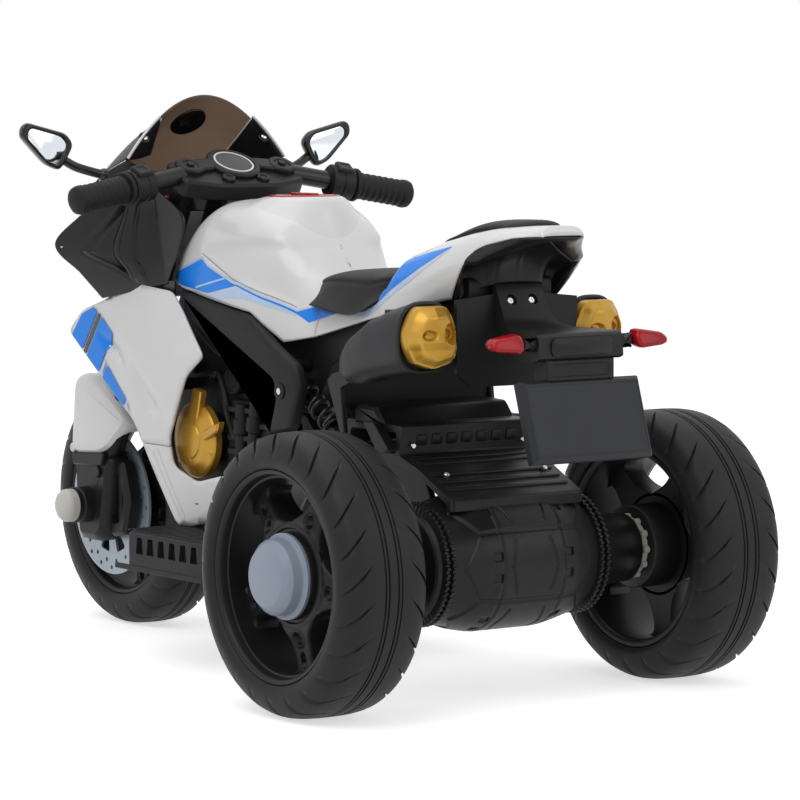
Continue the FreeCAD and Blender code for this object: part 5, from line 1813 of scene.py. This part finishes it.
def add_liner_screws():
    heads = []
    for down in (1.9, 3.05):
        spot = liner_point(down, 0.06)
        heads.append(turned([(0, 3.4), (1.2, 3.2), (1.8, 2.2), (1.8, 0.1)], spot, spot + liner_out * 5))
    add_piece("liner_screws", both_sides(join_parts(*heads)), "chassis", screw_silver)


# Frame halves inside the shells, with a black sheet under the tail that stands in for the deep shade there

frame_profile = [
    (128, 470), (200, 330), (200, 205), (175, 150), (-45, 150), (-95, 235), (-95, 312), (-120, 350),
    (-250, 394), (-376, 425), (-376, 456), (-240, 436), (-95, 410), (-30, 465)]
shade_sheet_outline = [
    (-98, 312), (-90, 304), (0, 304), (90, 304), (98, 312), (98, 372), (60, 384), (-60, 384), (-98, 372)]


def add_frame():
    half = slab(frame_profile, [(0.2, 0), (54, 0), (55, 1)], "y", 10)
    neck = slab([(116, 464), (188, 332), (222, 342), (241, 383), (179, 505), (150, 500)],
                [(0.2, 0), (21, 0), (22, 1)], "y", 6)
    head = rod(on_fork(245), on_fork(415), 29)
    boss = along_y(shock_top.x, shock_top.z, 52, 78, 9)
    guide = rod(shock_top, shock_top.lerp(shock_foot, 0.55), 6)
    # Black sheet across the space under the tail, between the deck and the shells: painted shade where that
    # space lies in deep shadow.
    shade_sheet = slab(shade_sheet_outline, [(-203, 1), (-202, 0), (-199, 0), (-198, 1)], "x", 6)
    part = join_parts(both_sides(join_parts(half, neck, boss, guide)), head, shade_sheet)
    add_piece("frame_halves_look", part, "chassis", arm_black, ["frame_halves"], sharp=35)


# Finishes; dull is the low reflection that the black plastics share
dull = 0.22

panel_white = plastic("panel_white", (0.74, 0.74, 0.745), 0.3, coat=0.35, vary=0.015)
satin_black = plastic("satin_black", (0.0125, 0.0125, 0.0135), 0.42, grain=0.05, vary=0.12, gloss=dull)
gloss_black = plastic("gloss_black", (0.009, 0.009, 0.0095), 0.24, coat=0.3, vary=0.1, gloss=dull)
arm_black = plastic("arm_black", (0.0135, 0.0135, 0.0145), 0.5, grain=0.06, vary=0.1, gloss=dull)
engine_black = plastic("engine_black", (0.009, 0.009, 0.0095), 0.5, grain=0.08, vary=0.15, gloss=dull)
plate_black = plastic("plate_black", (0.022, 0.023, 0.027), 0.42, grain=0.03, vary=0.06, gloss=dull)
barrel_black = plastic("barrel_black", (0.0115, 0.0115, 0.0125), 0.36, grain=0.05, vary=0.12, gloss=dull)
bar_black = plastic("bar_black", (0.014, 0.014, 0.015), 0.3, coat=0.2, gloss=dull)
tread_black = plastic("tread_black", (0.02, 0.02, 0.022), 0.55, grain=0.15, grain_scale=500, vary=0.12,
                      gloss=dull)
rim_black = plastic("rim_black", (0.0125, 0.0125, 0.0135), 0.4, grain=0.04, vary=0.1, gloss=dull)
tyre_rubber = plastic("tyre_rubber", (0.0145, 0.0145, 0.0155), 0.52, grain=0.12, grain_scale=700,
                      vary=0.12, gloss=dull)
grip_rubber = plastic("grip_rubber", (0.013, 0.013, 0.0135), 0.6, grain=0.12, vary=0.1, gloss=dull)
exhaust_grey = plastic("exhaust_grey", (0.021, 0.022, 0.024), 0.42, grain=0.05, vary=0.08, gloss=dull)
pad_cover = plastic("pad_cover", (0.0105, 0.0105, 0.0115), 0.52, grain=0.35, grain_scale=420, vary=0.12,
                    gloss=dull)
lid_red = plastic("lid_red", (0.42, 0.012, 0.02), 0.25, coat=0.4)
liner_black = plastic("liner_black", (0.010, 0.010, 0.011), 0.3, coat=0.15, vary=0.1, gloss=dull)
lens_dark = plastic("lens_dark", (0.017, 0.018, 0.02), 0.34, coat=0.1, vary=0.1, gloss=0.25)
lens_red = plastic("lens_red", (0.36, 0.004, 0.008), 0.2, coat=0.1, vary=0.3, gloss=0.2)
gold_paint = plastic("gold_paint", (0.56, 0.31, 0.035), 0.36, grain=0.03, vary=0.07, metal=0.45)
cap_blue = plastic("cap_blue", (0.28, 0.33, 0.41), 0.42, vary=0.03)
cap_cream = plastic("cap_cream", (0.62, 0.60, 0.56), 0.4, vary=0.03)
film_blue = plastic("film_blue", (0.008, 0.265, 0.98), 0.3, coat=0.1, vary=0.03, gloss=0.2)
film_pale = plastic("film_pale", (0.50, 0.66, 0.90), 0.28, coat=0.4, vary=0.03)
film_dark = plastic("film_dark", (0.012, 0.013, 0.03), 0.28, coat=0.4, vary=0.05)
# Grey of the painted shade along the tank's crease.
crease_shade_grey = plastic("crease_shade_grey", (0.32, 0.33, 0.36), 0.35, vary=0.04)
screw_silver = plastic("screw_silver", (0.62, 0.62, 0.62), 0.28, vary=0.05, metal=0.95)
steel = plastic("steel", (0.42, 0.42, 0.43), 0.34, vary=0.08, metal=0.9)
spring_black = plastic("spring_black", (0.016, 0.016, 0.017), 0.3, coat=0.3, vary=0.1, gloss=dull)
disc_metal = plastic("disc_metal", (0.36, 0.42, 0.47), 0.36, vary=0.05, metal=0.35)
nylon = plastic("nylon", (0.55, 0.53, 0.48), 0.45, vary=0.04)
case_grey = plastic("case_grey", (0.05, 0.05, 0.055), 0.5, grain=0.06)


def glass(name, colour, roughness, weight):
    """Clear or tinted moulding that lets light through."""
    material, tree, shader = shader_tree(name)
    tint = ramp(tree, object_noise(tree, 10), [(0.3, shaded(colour, 0.94)), (0.7, shaded(colour, 1.06))])
    tree.links.new(tint, shader.inputs["Base Color"])
    vary_roughness(tree, shader, object_noise(tree, 40), roughness, roughness + 0.05)
    shader.inputs["Transmission Weight"].default_value = weight
    shader.inputs["IOR"].default_value = 1.45
    return material


tinted_screen = glass("tinted_screen", (0.20, 0.135, 0.094), 0.5, 0.85)
clear_lens = glass("clear_lens", (0.8, 0.83, 0.86), 0.05, 0.7)
mirror_glass = plastic("mirror_glass", (0.74, 0.78, 0.84), 0.07, vary=0.03, metal=1.0)


def finish_other_nodes():
    """Pieces whose CAD shape shows, with the finish of each."""
    finishes = {
        "battery": case_grey, "control_box": case_grey, "dash_panel": gloss_black, "rear_axle": steel,
        "motors": steel, "steering_stem": steel, "front_axle": steel, "brake_discs": disc_metal,
        "drive_gear_left": nylon, "drive_gear_right": nylon, "pinion_left": steel, "pinion_right": steel,
        "start_button": lid_red, "direction_rocker": gloss_black}
    for name, material in finishes.items():
        finish_node(name, material)


add_camera()
add_world()
for lamp in lamps:
    add_lamp(*lamp)
add_floor()
add_wheels()
add_tank()
add_tail()
add_stickers()
add_pads()
add_bracket()
add_plate()
add_signals()
add_exhausts()
add_tips()
add_axle()
add_deck()
add_swing_arm()
add_springs()
add_engine()
add_clutch()
add_side_arms()
add_fairings()
add_fairing_bars()
add_footrests()
add_fork()
add_fender()
add_clamp()
add_handlebar()
add_grips()
add_switches()
add_mirrors()
add_screen()
add_screen_wings()
add_screen_screws()
add_nose()
add_headlight()
add_liner()
add_liner_screws()
add_frame()
finish_other_nodes()
bpy.context.scene.view_settings.view_transform = "Standard"
